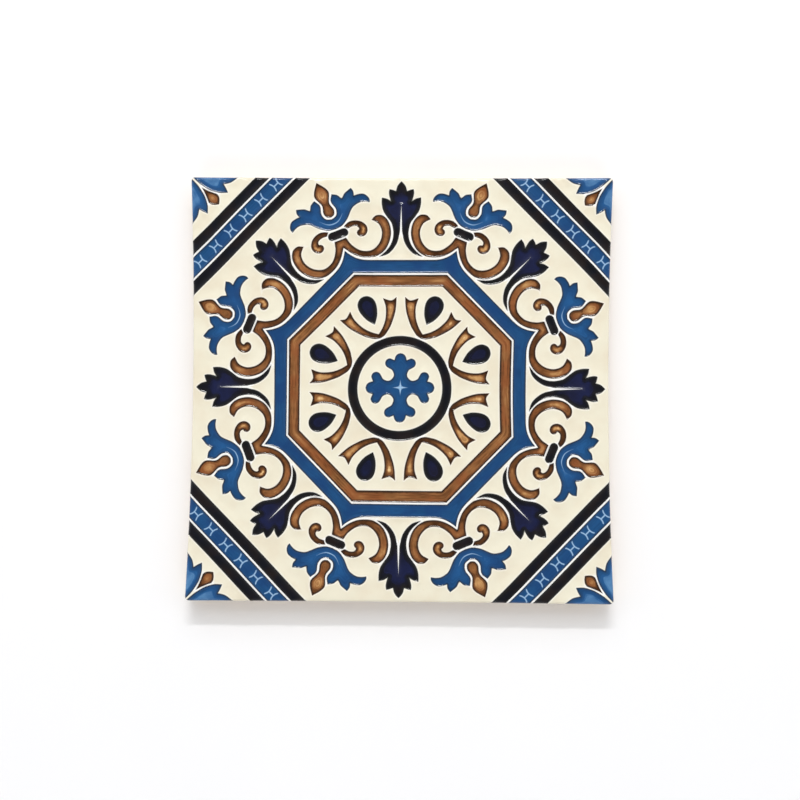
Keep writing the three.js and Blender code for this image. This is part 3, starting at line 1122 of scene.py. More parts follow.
@dataclass
class Face:
    """The whole face: eight mirrored copies of the eighth, joined where they meet."""

    eighth: Eighth
    relief: Relief = Relief()
    handwork: Handwork = Handwork()
    pool_calm: int = 4
    depth_calm: int = 2
    chain_line: float = 0.22
    palmette_line: float = 0.17
    palmette_fade: tuple[tuple[float, ...], ...] = ((0, 1.5, 4.2), (0.95, 0.85, 0.3))
    star_width: float = 0.5
    star_taper: float = 2.2
    star_tip: float = 0.05
    star_blur: float = 0.16
    narrow_ridge: tuple[float, float] = (0.6, 1.1)
    pool_hold: float = 0.35
    depth_hold: float = 0.5
    key_scale: float = 1e4

    def __post_init__(self) -> None:
        """Joins the copies and works out the heights."""
        net, floor = (self.eighth.points, self.eighth.faces), self.eighth.floors
        kinds = self.eighth.kinds(*net)
        self.kind = np.tile(kinds, COPIES)
        self.floor_kind = np.tile(self.eighth.kinds(*floor), COPIES)
        fine, coarse = self.copies(*net), self.copies(*floor)
        at = np.concatenate([fine[0], coarse[0]])
        key = np.round(at * self.key_scale).astype(np.int64) @ (1 << 24, 1)
        _, first, joined = np.unique(key, return_index=True, return_inverse=True)
        self.points = at[first]
        self.tri = joined[fine[1]]
        self.floor_tri = joined[coarse[1] + len(fine[0])]
        numbers = np.tile(np.arange(len(net[0])), COPIES)
        source = np.concatenate([numbers, np.zeros(len(coarse[0]), int)])[first]
        self.gap = gap_to(net[0], self.eighth.lines)[source]
        self.mark = self.mark_strength(net[0])[source]
        self.tone = self.tones(net[0], kinds)[source]
        self.amber = self.beside_amber(net[0])[source]
        self.narrow = self.between_pools(net[0])[source]
        self.find_edges()
        self.set_heights()
        far = self.without_veins(net[0])[source]
        self.pool_depth = np.where(far > self.gap + 0.01, np.maximum(self.depth, far), self.depth)

    def copies(self, points: np.ndarray, faces: np.ndarray) -> tuple[np.ndarray, np.ndarray]:
        """The eight mirrored and turned copies of a net.

        Args:
            points: Its points.
            faces: Its triangles.

        Returns:
            The points and triangles of all copies, still apart.
        """
        places, corners = [], []
        for swap in (False, True):
            for x, y in ((1, 1), (1, -1), (-1, 1), (-1, -1)):
                places.append((points[:, ::-1] if swap else points) * (x, y))
                flip = (x * y < 0) != swap
                corners.append((faces[:, ::-1] if flip else faces) + len(points) * len(corners))
        return np.concatenate(places), np.concatenate(corners)

    def mark_strength(self, points: np.ndarray) -> np.ndarray:
        """How strongly a fine light line or the cross's star shows.

        Args:
            points: Points of the eighth.

        Returns:
            A strength from 0 to 1 for each point.
        """
        pattern = self.eighth.pattern
        palmette, *chain = self.eighth.marks
        line = np.exp(-((gap_to(points, chain) / self.chain_line) ** 2))
        foot = pattern.at_corner(np.array([(0, pattern.corner)]))[0]
        off = np.abs(points @ (foot[1], -foot[0])) / pattern.corner
        curve = np.exp(-((gap_to(points, [palmette]) / self.palmette_line) ** 2))
        curve = curve * np.interp(off, *self.palmette_fade)
        x, y = points.T
        star = pattern.star_reach
        width = self.star_width * np.clip(1 - y / star, 0, 1) ** self.star_taper + self.star_tip
        ray = np.clip((width - x) / self.star_blur + 0.5, 0, 1)
        ray = ray * np.interp(y, (0, 0.6 * star, star), (1, 0.8, 0.1))
        return np.maximum(np.maximum(line, curve), ray)

    def without_veins(self, points: np.ndarray) -> np.ndarray:
        """Distance from the nearest pool edge, the sides of the leaves' veins left out.

        Args:
            points: Points of the eighth.

        Returns:
            One distance per point.
        """
        lines = self.eighth.pattern.leaf_edges()
        for motif in self.eighth.motifs:
            lines += [] if motif.name.endswith("leaf") else motif.lines
        return gap_to(points, lines)

    def beside_amber(self, points: np.ndarray) -> np.ndarray:
        """Whether the nearest pool is an amber one.

        Args:
            points: Points of the eighth.

        Returns:
            1 for each point beside an amber pool, 0 for the others.
        """
        amber, other = [], []
        for motif in self.eighth.motifs:
            (amber if motif.glaze is Glaze.AMBER else other).extend(motif.lines)
        return (gap_to(points, amber) < gap_to(points, other)).astype(float)

    def between_pools(self, points: np.ndarray) -> np.ndarray:
        """How narrow the ridge between two pools is.

        Args:
            points: Points of the eighth.

        Returns:
            1 for each point where two pools nearly touch, 0 in the open.
        """
        sets = [motif.lines for motif in self.eighth.motifs]
        sets += [[vein] for vein in self.eighth.pattern.veins()]
        second = np.sort([gap_to(points, lines) for lines in sets], axis=0)[1]
        return np.interp(second, self.narrow_ridge, (1, 0))

    def tones(self, points: np.ndarray, kinds: np.ndarray) -> np.ndarray:
        """Lightness of the glaze, by the motif that a point lies in.

        Args:
            points: Points of the eighth.
            kinds: Motif of each triangle.

        Returns:
            One lightness per point.
        """
        found = np.full(len(points), 0.5)
        for index, motif in enumerate(self.eighth.motifs):
            own = np.unique(self.eighth.faces[kinds == index])
            found[own] = motif.tone.at(points[own])
        return found

    def find_edges(self) -> None:
        """Finds the edges between pools and ground, and the rim, with the pool or face on their left."""
        count = len(self.points)
        start = self.tri.ravel()
        end = np.roll(self.tri, -1, axis=1).ravel()
        pooled = np.repeat(self.kind >= 0, 3)
        face = np.repeat(np.arange(len(self.tri)), 3)
        key = np.minimum(start, end) * count + np.maximum(start, end)
        order = np.argsort(key, kind="stable")
        same = key[order][1:] == key[order][:-1]
        a, b = order[:-1][same], order[1:][same]
        wall = pooled[a] != pooled[b]
        left = np.where(pooled[a], a, b)[wall]
        self.outline = np.stack([start[left], end[left], face[left]], 1)
        single = np.ones(len(order), bool)
        single[:-1][same] = single[1:][same] = False
        rim = order[single]
        self.rim = np.stack([start[rim], end[rim], face[rim]], 1)

    def calmed(self, height: np.ndarray, moving: np.ndarray, faces: np.ndarray, turns: int) -> np.ndarray:
        """Heights evened out between neighbours, as glaze evens out when it melts.

        Args:
            height: Height of each point.
            moving: Whether each point may move.
            faces: Triangles that join neighbours.
            turns: How many times they are evened out.

        Returns:
            The evened heights.
        """
        start, end = faces.ravel(), np.roll(faces, -1, axis=1).ravel()
        size = len(height)
        degree = np.bincount(start, minlength=size) + np.bincount(end, minlength=size)
        moving = moving & (degree > 0)
        for _ in range(turns):
            total = np.bincount(start, height[end], size) + np.bincount(end, height[start], size)
            height = np.where(moving, total / np.maximum(degree, 1), height)
        return height

    def set_heights(self) -> None:
        """Works out where each point lies on each surface."""
        tile = self.eighth.pattern.tile
        relief = self.relief
        depth = tile.depth_in(self.points)
        drop = tile.arris_drop(self.points)
        swell = self.handwork.swell * self.handwork.waves(self.points, self.handwork.swell_wave, 2)
        pooled = self.tri[self.kind >= 0]
        on_tile = depth > 0.01
        free = (self.gap > self.pool_hold) & on_tile
        pool = self.calmed(relief.pool(self.gap), free, pooled, self.pool_calm)
        free = (self.gap > self.depth_hold) & on_tile
        self.depth = self.calmed(self.gap, free, pooled, self.depth_calm)
        pool = pool + relief.mark_height * self.mark + 2 * swell * np.clip(self.gap, 0, 1)
        ground = relief.ground(self.gap) + swell
        at = tile.fired(self.handwork.shifted(self.points, depth))
        top = tile.thickness
        rim = np.unique(self.rim[:, :2])
        lap = top - tile.lap + tile.lap_swing * self.handwork.waves(self.points, tile.lap_wave, 3)
        inset = {Level.CLAY: tile.clay_inset, Level.LOW: tile.clay_inset, Level.BACK: tile.back_chamfer}
        height = {
            Level.GROUND: np.minimum(top + ground, top) - drop,
            Level.POOL: np.minimum(top + pool, top) - drop,
            Level.FLOOR: np.full(len(drop), top - relief.floor_drop),
            Level.LAP: lap,
            Level.CLAY: lap - tile.lap_step,
            Level.LOW: np.full(len(drop), tile.back_chamfer),
            Level.BACK: np.zeros(len(drop)),
        }
        places = []
        for level in Level:
            plan = at.copy()
            if level in inset:
                plan[rim] = tile.fired(tile.inset(self.points[rim], inset[level]))
            places.append(np.column_stack([plan, height[level]]))
        self.places = np.concatenate([*places, [(0, 0, 0)]])

    def ids(self, level: Level, index: np.ndarray) -> np.ndarray:
        """Numbers of net points on one of the surfaces."""
        return int(level) * len(self.points) + index

    def quads(self, edges: np.ndarray, upper: Level, lower: Level, outwards: bool) -> np.ndarray:
        """Upright faces below edges.

        Args:
            edges: Start and end of each edge.
            upper: Surface of their upper side.
            lower: Surface of their lower side.
            outwards: Whether they face away from what lies left of the edge.

        Returns:
            Four corners for each edge.
        """
        i, j = (edges[:, 1], edges[:, 0]) if outwards else (edges[:, 0], edges[:, 1])
        return np.stack([self.ids(upper, i), self.ids(upper, j), self.ids(lower, j), self.ids(lower, i)], 1)

    def body_faces(self) -> tuple[list[list[int]], list[list[int]]]:
        """Faces of the tile without its coloured pools: the glazed ones and the bare ones.

        Returns:
            The glazed faces and the bare ones.
        """
        glazed = self.ids(Level.GROUND, self.tri[self.kind < 0]).tolist()
        glazed += self.quads(self.outline, Level.GROUND, Level.FLOOR, False).tolist()
        glazed += self.ids(Level.FLOOR, self.floor_tri[self.floor_kind >= 0]).tolist()
        pooled = self.kind[self.rim[:, 2]] >= 0
        junction = set(np.intersect1d(self.rim[pooled, :2], self.rim[~pooled, :2]).tolist())
        for (i, j, _), low in zip(self.rim.tolist(), pooled.tolist()):
            top = Level.FLOOR if low else Level.GROUND
            side = [self.ids(top, j), self.ids(top, i)]
            side += [self.ids(Level.FLOOR, i)] if i in junction and not low else []
            side += [self.ids(Level.LAP, i), self.ids(Level.LAP, j)]
            side += [self.ids(Level.FLOOR, j)] if j in junction and not low else []
            glazed.append(side)
        glazed += self.quads(self.rim, Level.LAP, Level.CLAY, True).tolist()
        bare = self.quads(self.rim, Level.CLAY, Level.LOW, True).tolist()
        bare += self.quads(self.rim, Level.LOW, Level.BACK, True).tolist()
        centre = len(self.places) - 1
        back = self.ids(Level.BACK, self.rim[:, :2])
        bare += [[j, i, centre] for i, j in back.tolist()]
        return glazed, bare

    def pool_faces(self, glaze: Glaze) -> list[list[int]]:
        """Faces of the closed pools of one glaze.

        Args:
            glaze: The glaze.

        Returns:
            Corners of each face.
        """
        own = [index for index, motif in enumerate(self.eighth.motifs) if motif.glaze is glaze]
        mine = np.isin(self.kind, own)
        faces = self.ids(Level.POOL, self.tri[mine]).tolist()
        faces += self.ids(Level.FLOOR, self.floor_tri[np.isin(self.floor_kind, own)][:, ::-1]).tolist()
        for edges in (self.outline, self.rim):
            edge = edges[mine[edges[:, 2]]]
            faces += self.quads(edge, Level.POOL, Level.FLOOR, True).tolist()
        return faces

    def mesh(self, name: str, groups: list[list[list[int]]], depth: np.ndarray) -> bpy.types.Mesh:
        """A mesh of some of the face's surfaces.

        Args:
            name: Its name.
            groups: Its faces, one group for each material.
            depth: Distance of each point from the edge, as the material sees it.

        Returns:
            The mesh, with its attributes and sharp edges.
        """
        faces = [face for group in groups for face in group]
        used, local = np.unique(np.concatenate([np.array(face) for face in faces]), return_inverse=True)
        cuts = np.cumsum([len(face) for face in faces])[:-1]
        mesh = bpy.data.meshes.new(name)
        corners = [part.tolist() for part in np.split(local, cuts)]
        mesh.from_pydata((self.places[used] * MM).tolist(), [], corners)
        mesh.polygons.foreach_set("use_smooth", np.ones(len(faces), bool))
        slots = np.repeat(np.arange(len(groups)), [len(group) for group in groups])
        mesh.polygons.foreach_set("material_index", slots)
        index = np.minimum(used, len(self.places) - 2) % len(self.points)
        carried = {"depth": depth, "tone": self.tone, "mark": self.mark}
        for key, values in (carried | {"amber": self.amber, "narrow": self.narrow}).items():
            layer = mesh.attributes.new(key, "FLOAT", "POINT")
            layer.data.foreach_set("value", values[index].astype(np.float32))
        self.sharpen(mesh, used)
        mesh.update()
        return mesh

    def sharpen(self, mesh: bpy.types.Mesh, used: np.ndarray) -> None:
        """Marks the edges where the surface breaks.

        Args:
            mesh: The mesh.
            used: The number of each of its points.
        """
        count = len(self.points)
        pairs = np.empty(len(mesh.edges) * 2, np.int32)
        mesh.edges.foreach_get("vertices", pairs)
        ends = used[pairs.reshape(-1, 2)]
        level, index = ends // count, ends % count
        key = index.min(1) * count + index.max(1)
        lines = [np.sort(edges[:, :2], axis=1) @ (count, 1) for edges in (self.outline, self.rim)]
        flat = level[:, 0] == level[:, 1]
        on_line = np.isin(key, lines[0])
        on_rim = np.isin(key, lines[1])
        low = level[:, 0] >= Level.LAP
        in_pool = np.isin(level[:, 0], (Level.POOL, Level.FLOOR))
        sharp = flat & (on_line & ~low | on_rim & (low | in_pool))
        layer = mesh.attributes.new("sharp_edge", "BOOLEAN", "EDGE")
        layer.data.foreach_set("value", sharp)


class Shade:
    """One socket of a material, on which arithmetic adds Math nodes."""

    def __init__(self, board: "Board", socket: bpy.types.NodeSocket) -> None:
        """Keeps the socket and the board it belongs to."""
        self.board = board
        self.socket = socket

    def math(self, operation: str, *values: "Shade | float") -> "Shade":
        """A Math node on this and other values."""
        return self.board.value(operation, self, *values)

    def __add__(self, other: "Shade | float") -> "Shade":
        """Sum."""
        return self.math("ADD", other)

    __radd__ = __add__

    def __mul__(self, other: "Shade | float") -> "Shade":
        """Product."""
        return self.math("MULTIPLY", other)

    __rmul__ = __mul__

    def __sub__(self, other: "Shade | float") -> "Shade":
        """Difference."""
        return self.math("SUBTRACT", other)

    def __rsub__(self, other: float) -> "Shade":
        """Difference from a number."""
        return self.board.value("SUBTRACT", other, self)

    def step(self, low: float, high: float) -> "Shade":
        """Smooth rise from 0 at low to 1 at high, or fall where low is the larger.

        Args:
            low: Value where the result is 0.
            high: Value where the result is 1.

        Returns:
            The rise, from 0 to 1.
        """
        if low > high:
            return 1 - self.step(high, low)
        return self.board.add(
            "ShaderNodeMapRange", {"interpolation_type": "SMOOTHSTEP"},
            {"Value": self, "From Min": low, "From Max": high},
        )


class Board:
    """The nodes of one material, or of the sky."""

    def __init__(self, owner: bpy.types.Material | bpy.types.World) -> None:
        """Empties the owner's nodes.

        Args:
            owner: What the nodes are for.
        """
        self.owner = owner
        owner.use_nodes = True
        self.tree = owner.node_tree
        self.tree.nodes.clear()

    @classmethod
    def of_material(cls, name: str) -> "Board":
        """The nodes of a new material."""
        return cls(bpy.data.materials.new(name))

    def add(self, kind: str, settings: dict | None = None, inputs: dict | None = None,
            output: int | str = 0) -> Shade:
        """Adds a node.

        Args:
            kind: Its type.
            settings: Its properties, set first; stops are those of a ramp.
            inputs: Values or links of its sockets, by name or number.
            output: The socket that is returned.

        Returns:
            One of its output sockets, if it has any.
        """
        node = self.tree.nodes.new(kind)
        for key, value in (settings or {}).items():
            setattr(node, key, value)
        for key, value in (inputs or {}).items():
            if isinstance(value, Shade):
                self.tree.links.new(value.socket, node.inputs[key])
            else:
                node.inputs[key].default_value = value
        return Shade(self, node.outputs[output] if len(node.outputs) else None)

    def value(self, operation: str, *values: "Shade | float") -> Shade:
        """A Math node on numbers and sockets in their order."""
        return self.add("ShaderNodeMath", {"operation": operation}, dict(enumerate(values)))

    def place(self) -> Shade:
        """Place on the object, in millimetres."""
        place = self.add("ShaderNodeTexCoord", output="Object")
        return self.add("ShaderNodeVectorMath", {"operation": "SCALE"}, {0: place, "Scale": 1 / MM})

    def noise(self, size: float, detail: float = 2.0, rough: float = 0.5) -> Shade:
        """Cloudy noise from 0 to 1.

        Args:
            size: Rough size of its features, in millimetres.
            detail: How many finer layers it has.
            rough: How strong they are.

        Returns:
            The noise.
        """
        settings = {"noise_dimensions": "3D"}
        inputs = {"Vector": self.place(), "Scale": 1 / size, "Detail": detail, "Roughness": rough}
        return self.add("ShaderNodeTexNoise", settings, inputs)

    def spots(self, size: float, reach: float) -> Shade:
        """Small round spots, 1 in their middles and 0 between them.

        Args:
            size: Distance between them, in millimetres.
            reach: Their radius, as a share of that distance.

        Returns:
            The spots.
        """
        inputs = {"Vector": self.place(), "Scale": 1 / size}
        found = self.add("ShaderNodeTexVoronoi", {"feature": "F1"}, inputs)
        return found.step(reach, 0.3 * reach)

    def streaks(self, depth: Shade) -> Shade:
        """Fine streaks that run along the edges of a pool, as a brush leaves them.

        Args:
            depth: Distance from the pool's edge.

        Returns:
            The streaks, from 0 to 1.
        """
        across = self.add("ShaderNodeCombineXYZ", {}, {"Z": 3.4 * depth})
        inputs = {0: self.place(), 1: (0.16, 0.16, 0.0), 2: across}
        at = self.add("ShaderNodeVectorMath", {"operation": "MULTIPLY_ADD"}, inputs)
        return self.add("ShaderNodeTexNoise", {}, {"Vector": at, "Scale": 1.0, "Detail": 2.0})

    def ramp(self, value: Shade, stops: list[tuple[float, Linear]]) -> Shade:
        """Colour by a value.

        Args:
            value: The value.
            stops: Values in rising order, each with its colour.

        Returns:
            The colour, blended between the stops.
        """
        made = self.add("ShaderNodeValToRGB", {}, {"Fac": value})
        elements = made.socket.node.color_ramp.elements
        while len(elements) < len(stops):
            elements.new(0.5)
        for element, (at, colour) in zip(elements, stops):
            element.position = at
            element.color = colour
        return made

    def attribute(self, name: str) -> Shade:
        """A value that the mesh carries."""
        return self.add("ShaderNodeAttribute", {"attribute_name": name}, output="Fac")

    def mix(self, factor: "Shade | float", first: "Shade | Linear", second: "Shade | Linear") -> Shade:
        """Colour between two colours."""
        return self.add("ShaderNodeMix", {"data_type": "RGBA"}, {0: factor, 6: first, 7: second}, 2)

    def bump(self, height: Shade, rise: float) -> Shade:
        """Normal of a surface with a fine relief, whose rise is in millimetres."""
        return self.add("ShaderNodeBump", {}, {"Height": height, "Distance": rise * MM})

    def finish(self, colour: Shade, roughness: Shade, normal: Shade, ior: float) -> bpy.types.Material:
        """Ends the material with its shader.

        Args:
            colour: Base colour.
            roughness: Roughness.
            normal: Normal.
            ior: Index of refraction, the same all over.

        Returns:
            The material.
        """
        inputs = {"Base Color": colour, "Roughness": roughness, "Normal": normal, "IOR": ior}
        shader = self.add("ShaderNodeBsdfPrincipled", {}, inputs)
        self.add("ShaderNodeOutputMaterial", {}, {"Surface": shader})
        return self.owner


def paint(red: float, green: float, blue: float) -> Linear:
    """A colour as shown, from 0 to 255, for a socket.

    Args:
        red: Red, from 0 to 255.
        green: Green, from 0 to 255.
        blue: Blue, from 0 to 255.

    Returns:
        The colour in linear light, with full opacity.
    """
    shown = np.array([red, green, blue]) / 255
    linear = np.where(shown > 0.04045, ((shown + 0.055) / 1.055) ** 2.4, shown / 12.92)
    return (*linear.tolist(), 1.0)


@dataclass(frozen=True)
class CreamGlaze:
    """Opaque cream glaze of the ground, white on the ridges, with painted shade along each pool's edge."""

    ground: Colour = (241, 235, 213)
    warm: Colour = (236, 226, 202)
    ridge: Colour = (253, 252, 248)
    speck: Colour = (196, 178, 144)
    # Colours of the painted shade along the pools' edges: grey, and brown beside amber pools.
    cool_edge_shade: Colour = (92, 98, 104)
    warm_edge_shade: Colour = (112, 78, 50)

    def material(self) -> bpy.types.Material:
        """Makes the material.

        Returns:
            The material.
        """
        board = Board.of_material("cream_glaze")
        depth = board.attribute("depth")
        cloud = board.noise(9.0, 3.0)
        colour = board.mix(cloud.step(0.35, 0.75), paint(*self.ground), paint(*self.warm))
        speck = board.spots(2.6, 0.06) * board.noise(14.0).step(0.5, 0.62)
        colour = board.mix(speck * 0.55, colour, paint(*self.speck))
        narrow = board.attribute("narrow")
        white = depth.step(0.7, 0.4) * (0.3 + 0.7 * narrow)
        colour = board.mix(white, colour, paint(*self.ridge))
        # Painted shade: a dark line at the foot of each ridge, within 0.15 mm of a pool's edge, browner
        # beside amber pools and weaker where the ridge between two pools is narrow.
        edge_shade = board.mix(board.attribute("amber"), paint(*self.cool_edge_shade), paint(*self.warm_edge_shade))
        colour = board.mix(depth.step(0.15, 0.04) * (0.9 - 0.65 * narrow), colour, edge_shade)
        roughness = 0.13 + 0.08 * board.noise(3.0)
        ripple = board.noise(2.2, 2.0) + 0.25 * board.noise(0.5, 1.0)
        return board.finish(colour, roughness, board.bump(ripple, 0.02), 1.5)


@dataclass(frozen=True)
class PoolGlaze:
    """Coloured glaze of the pools, dark where it lies deep at the edge and lighter where it is thin."""

    name: str
    shades: tuple[tuple[float, Colour], ...]
    burnt: Colour
    line: Colour
    edge: tuple[float, float]
    light_reach: float
    body: float = 0.4
    streak: float = 0.5

    def material(self) -> bpy.types.Material:
        """Makes the material.

        Returns:
            The material.
        """
        board = Board.of_material(self.name)
        depth, tone, mark = (board.attribute(name) for name in ("depth", "tone", "mark"))
        cloud = board.noise(3.2, 3.0) - 0.5
        drift = depth + 0.3 * (board.noise(1.4, 3.0) - 0.5)
        thin = drift.step(0.45, self.light_reach) * tone
        rise = drift.step(*self.edge)
        streak = self.streak * (board.streaks(depth) - 0.5) * (1 - 0.8 * depth.step(1.6, 2.2))
        shade = self.body + (1 - self.body) * thin + streak + 0.3 * cloud * tone
        shade = rise * shade + 0.1 * cloud
        speck = board.spots(0.9, 0.12) * board.noise(5.0).step(0.45, 0.6)
        stops = [(at, paint(*shown)) for at, shown in self.shades]
        colour = board.ramp(shade + 0.15 * speck, stops)
        burnt = board.noise(7.0, 3.0).step(0.4, 0.65) * (1 - tone) * shade.step(0.15, 0.45)
        colour = board.mix(burnt * 0.6, colour, paint(*self.burnt))
        colour = board.mix(mark.step(0.1, 0.95) * 0.85, colour, paint(*self.line))
        roughness = 0.1 + 0.07 * board.noise(2.5)
        ripple = board.noise(1.1, 2.0) + 0.3 * board.noise(0.4, 1.0)
        return board.finish(colour, roughness, board.bump(ripple, 0.035), 1.56)


@dataclass(frozen=True)
class FiredClay:
    """Bare buff clay of the sides and the back."""

    body: Colour = (214, 186, 150)
    pale: Colour = (228, 206, 174)
    grit: Colour = (150, 108, 74)

    def material(self) -> bpy.types.Material:
        """Makes the material.

        Returns:
            The material.
        """
        board = Board.of_material("fired_clay")
        colour = board.mix(board.noise(7.0, 5.0, 0.6).step(0.3, 0.7), paint(*self.body), paint(*self.pale))
        grit = board.spots(0.8, 0.16) * board.noise(3.0).step(0.4, 0.6)
        colour = board.mix(grit * 0.7, colour, paint(*self.grit))
        grain = board.noise(0.25, 4.0, 0.7) + 0.6 * board.noise(1.4, 2.0)
        roughness = 0.78 + 0.15 * board.noise(1.0)
        return board.finish(colour, roughness, board.bump(grain, 0.08), 1.45)


@dataclass(frozen=True)
class StudioFloor:
    """Plain pale floor."""

    shade: Colour = (252, 252, 253)
    half: float = 1.2
    drop: float = 0.0002

    def build(self) -> bpy.types.Object:
        """Makes the floor, its top at the tile's back.

        Returns:
            The floor.
        """
        mesh = bpy.data.meshes.new("floor")
        signs = ((-1, -1), (1, -1), (1, 1), (-1, 1))
        corners = [(x * self.half, y * self.half, -self.drop) for x, y in signs]
        mesh.from_pydata(corners, [], [(0, 1, 2, 3)])
        floor = bpy.data.objects.new("floor", mesh)
        bpy.context.scene.collection.objects.link(floor)
        board = Board.of_material("pale_floor")
        colour = board.mix(board.noise(60.0, 2.0), paint(*self.shade), paint(*(v - 2 for v in self.shade)))
        roughness = 0.7 + 0.1 * board.noise(20.0)
        mesh.materials.append(board.finish(colour, roughness, board.bump(board.noise(3.0), 0.01), 1.3))
        return floor


@dataclass(frozen=True)
class Softbox:
    """A soft light above the tile, aimed at its middle; sizes in metres.

    Only a light that shows is mirrored in the glaze; the others fill.
    """

    name: str
    azimuth: float
    height: float
    distance: float
    size: tuple[float, float]
    watts: float
    shows: bool = False

    def build(self) -> bpy.types.Object:
        """Makes the light.

        Returns:
            The light.
        """
        light = bpy.data.lights.new(self.name, "AREA")
        light.shape = "RECTANGLE"
        light.size, light.size_y = self.size
        light.energy = self.watts
        lamp = bpy.data.objects.new(self.name, light)
        azimuth, height = math.radians(self.azimuth), math.radians(self.height)
        flat = math.cos(height)
        towards = Vector((math.sin(azimuth) * flat, math.cos(azimuth) * flat, math.sin(height)))
        lamp.location = towards * self.distance
        lamp.rotation_mode = "QUATERNION"
        lamp.rotation_quaternion = towards.to_track_quat("Z", "Y")
        lamp.visible_glossy = self.shows
        bpy.context.scene.collection.objects.link(lamp)
        return lamp


@dataclass(frozen=True)
class Viewpoint:
    """The photograph's viewpoint, nearly square above the face."""

    aim: tuple[float, float] = (0.054, -3.922)
    distance: float = 450.0
    tilt: float = 0.05433
    side: float = 0.02488
    roll: float = 0.00719
    lens: float = 61.76

    def build(self, top: float) -> bpy.types.Object:
        """Makes the scene's camera.

        Args:
            top: Height of the face, in millimetres.

        Returns:
            The camera.
        """
        data = bpy.data.cameras.new("camera")
        data.lens, data.sensor_width = self.lens, 36.0
        data.clip_start, data.clip_end = 0.01, 50.0
        camera = bpy.data.objects.new("camera", data)
        back = Vector((math.sin(self.side), -math.sin(self.tilt), 0.0))
        back.z = math.sqrt(1 - back.x**2 - back.y**2)
        right = Vector((0, 1, 0)).cross(back).normalized()
        up = back.cross(right)
        c, s = math.cos(self.roll), math.sin(self.roll)
        axes = Matrix((right * c + up * s, up * c - right * s, back)).transposed().to_4x4()
        place = (Vector((*self.aim, top)) + back * self.distance) * MM
        camera.matrix_world = Matrix.Translation(place) @ axes
        bpy.context.scene.collection.objects.link(camera)
        bpy.context.scene.camera = camera
        return camera


class Studio:
    """Floor, lights, sky and camera."""

    LIGHTS = (
        Softbox("strip_light", 0.0, 48.0, 2.0, (0.7, 0.1), 12.0, True),
        Softbox("key_light", 0.0, 50.0, 2.0, (2.0, 1.6), 16.4),
        Softbox("left_light", -80.0, 42.0, 2.0, (1.3, 1.3), 4.4),
        Softbox("right_light", 80.0, 42.0, 2.0, (1.3, 1.3), 4.4),
        Softbox("front_light", 180.0, 40.0, 2.0, (1.8, 0.9), 9.0),
    )
    SKY = ((0.0, 0.7), (0.3, 0.5), (0.75, 0.37), (1.0, 0.05))

    def build(self, top: float) -> None:
        """Makes everything round the tile.

        Args:
            top: Height of the tile's face, in millimetres.
        """
        Viewpoint().build(top)
        StudioFloor().build()
        for light in self.LIGHTS:
            light.build()
        self.sky()
        bpy.context.scene.view_settings.view_transform = "Standard"

    def sky(self) -> None:
        """Even pale light from the sides, darker overhead, where a face-up tile would mirror it."""
        world = bpy.data.worlds.new("studio")
        bpy.context.scene.world = world
        board = Board(world)
        place = board.add("ShaderNodeTexCoord", output="Generated")
        height = board.add("ShaderNodeSeparateXYZ", {}, {0: place}, "Z")
        colour = board.ramp(height, [(at, (grey, grey, grey * 1.01, 1.0)) for at, grey in self.SKY])
        light = board.add("ShaderNodeBackground", {}, {"Color": colour})
        board.add("ShaderNodeOutputWorld", {}, {"Surface": light})


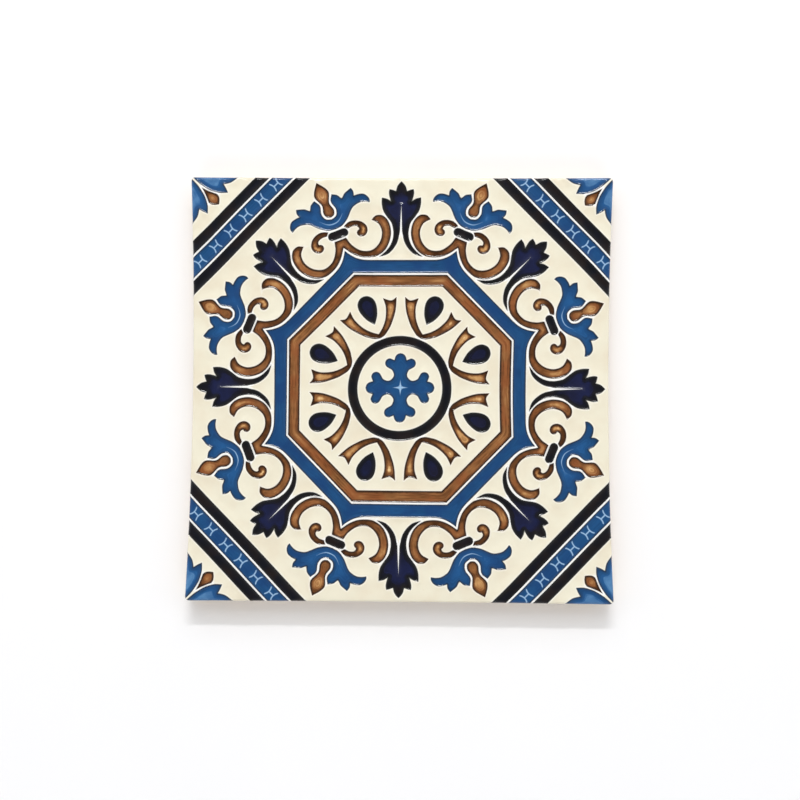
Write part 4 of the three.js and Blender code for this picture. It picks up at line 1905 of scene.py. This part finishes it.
class GlazedTile:
    """The tile itself: its body with the cream ground, and the coloured pools in it."""

    BLUE = PoolGlaze(
        "blue_glaze",
        ((0.0, (26, 48, 72)), (0.35, (31, 72, 116)), (0.7, (40, 92, 146)), (1.0, (114, 164, 208))),
        burnt=(28, 60, 112), line=(172, 208, 240), edge=(0.1, 0.7), light_reach=2.2,
    )
    NAVY = PoolGlaze(
        "navy_glaze",
        ((0.0, (26, 26, 24)), (0.4, (22, 23, 28)), (0.7, (24, 26, 42)), (1.0, (31, 36, 70))),
        burnt=(44, 34, 28), line=(60, 60, 110), edge=(0.0, 0.6), light_reach=1.8,
    )
    AMBER = PoolGlaze(
        "amber_glaze",
        ((0.0, (48, 27, 13)), (0.3, (112, 71, 40)), (0.55, (158, 107, 64)), (0.8, (206, 158, 102)),
         (1.0, (240, 202, 146))),
        burnt=(146, 76, 42), line=(222, 172, 118), edge=(0.2, 0.8), light_reach=1.4,
        body=0.34, streak=0.85,
    )

    def __init__(self, face: Face) -> None:
        """Keeps the face that the pieces are made from."""
        self.face = face

    def build(self) -> list[bpy.types.Object]:
        """Makes every piece of the tile."""
        return [self.body(), *(self.pools(glaze, finish) for glaze, finish in (
            (Glaze.BLUE, self.BLUE), (Glaze.NAVY, self.NAVY), (Glaze.AMBER, self.AMBER)))]

    def piece(self, name: str, mesh: bpy.types.Mesh, slot: Glaze) -> bpy.types.Object:
        """An object of the tile, which stands for the plain solid.

        Args:
            name: Its name.
            mesh: Its mesh, materials included.
            slot: Its glaze; not used.

        Returns:
            The object.
        """
        made = bpy.data.objects.new(name, mesh)
        bpy.context.scene.collection.objects.link(made)
        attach(made, "root")
        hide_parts("tile")
        return made

    def body(self) -> bpy.types.Object:
        """Fired body with the cream ground, the ridges, and a recess under each pool.

        Returns:
            The piece.
        """
        mesh = self.face.mesh("tile_body", list(self.face.body_faces()), self.face.depth)
        mesh.materials.append(CreamGlaze().material())
        mesh.materials.append(FiredClay().material())
        return self.piece("tile_body", mesh, Glaze.CREAM)

    def pools(self, glaze: Glaze, finish: PoolGlaze) -> bpy.types.Object:
        """All pools of one glaze.

        Args:
            glaze: The glaze.
            finish: Its finish.

        Returns:
            The piece.
        """
        name = glaze.value.replace("glaze", "pools")
        mesh = self.face.mesh(name, [self.face.pool_faces(glaze)], self.face.pool_depth)
        mesh.materials.append(finish.material())
        return self.piece(name, mesh, glaze)


def log_piece(piece: bpy.types.Object) -> None:
    """Reports a piece and its number of triangles."""
    piece.data.calc_loop_triangles()
    log.info("%s: %d triangles", piece.name, len(piece.data.loop_triangles))


def main() -> None:
    """Builds the tile and the studio round it."""
    logging.basicConfig(level=logging.INFO)
    tile = TileShape()
    Studio().build(tile.thickness)
    face = Face(Eighth(Pattern(tile)))
    for piece in GlazedTile(face).build():
        log_piece(piece)


if __name__ == "__main__":
    main()
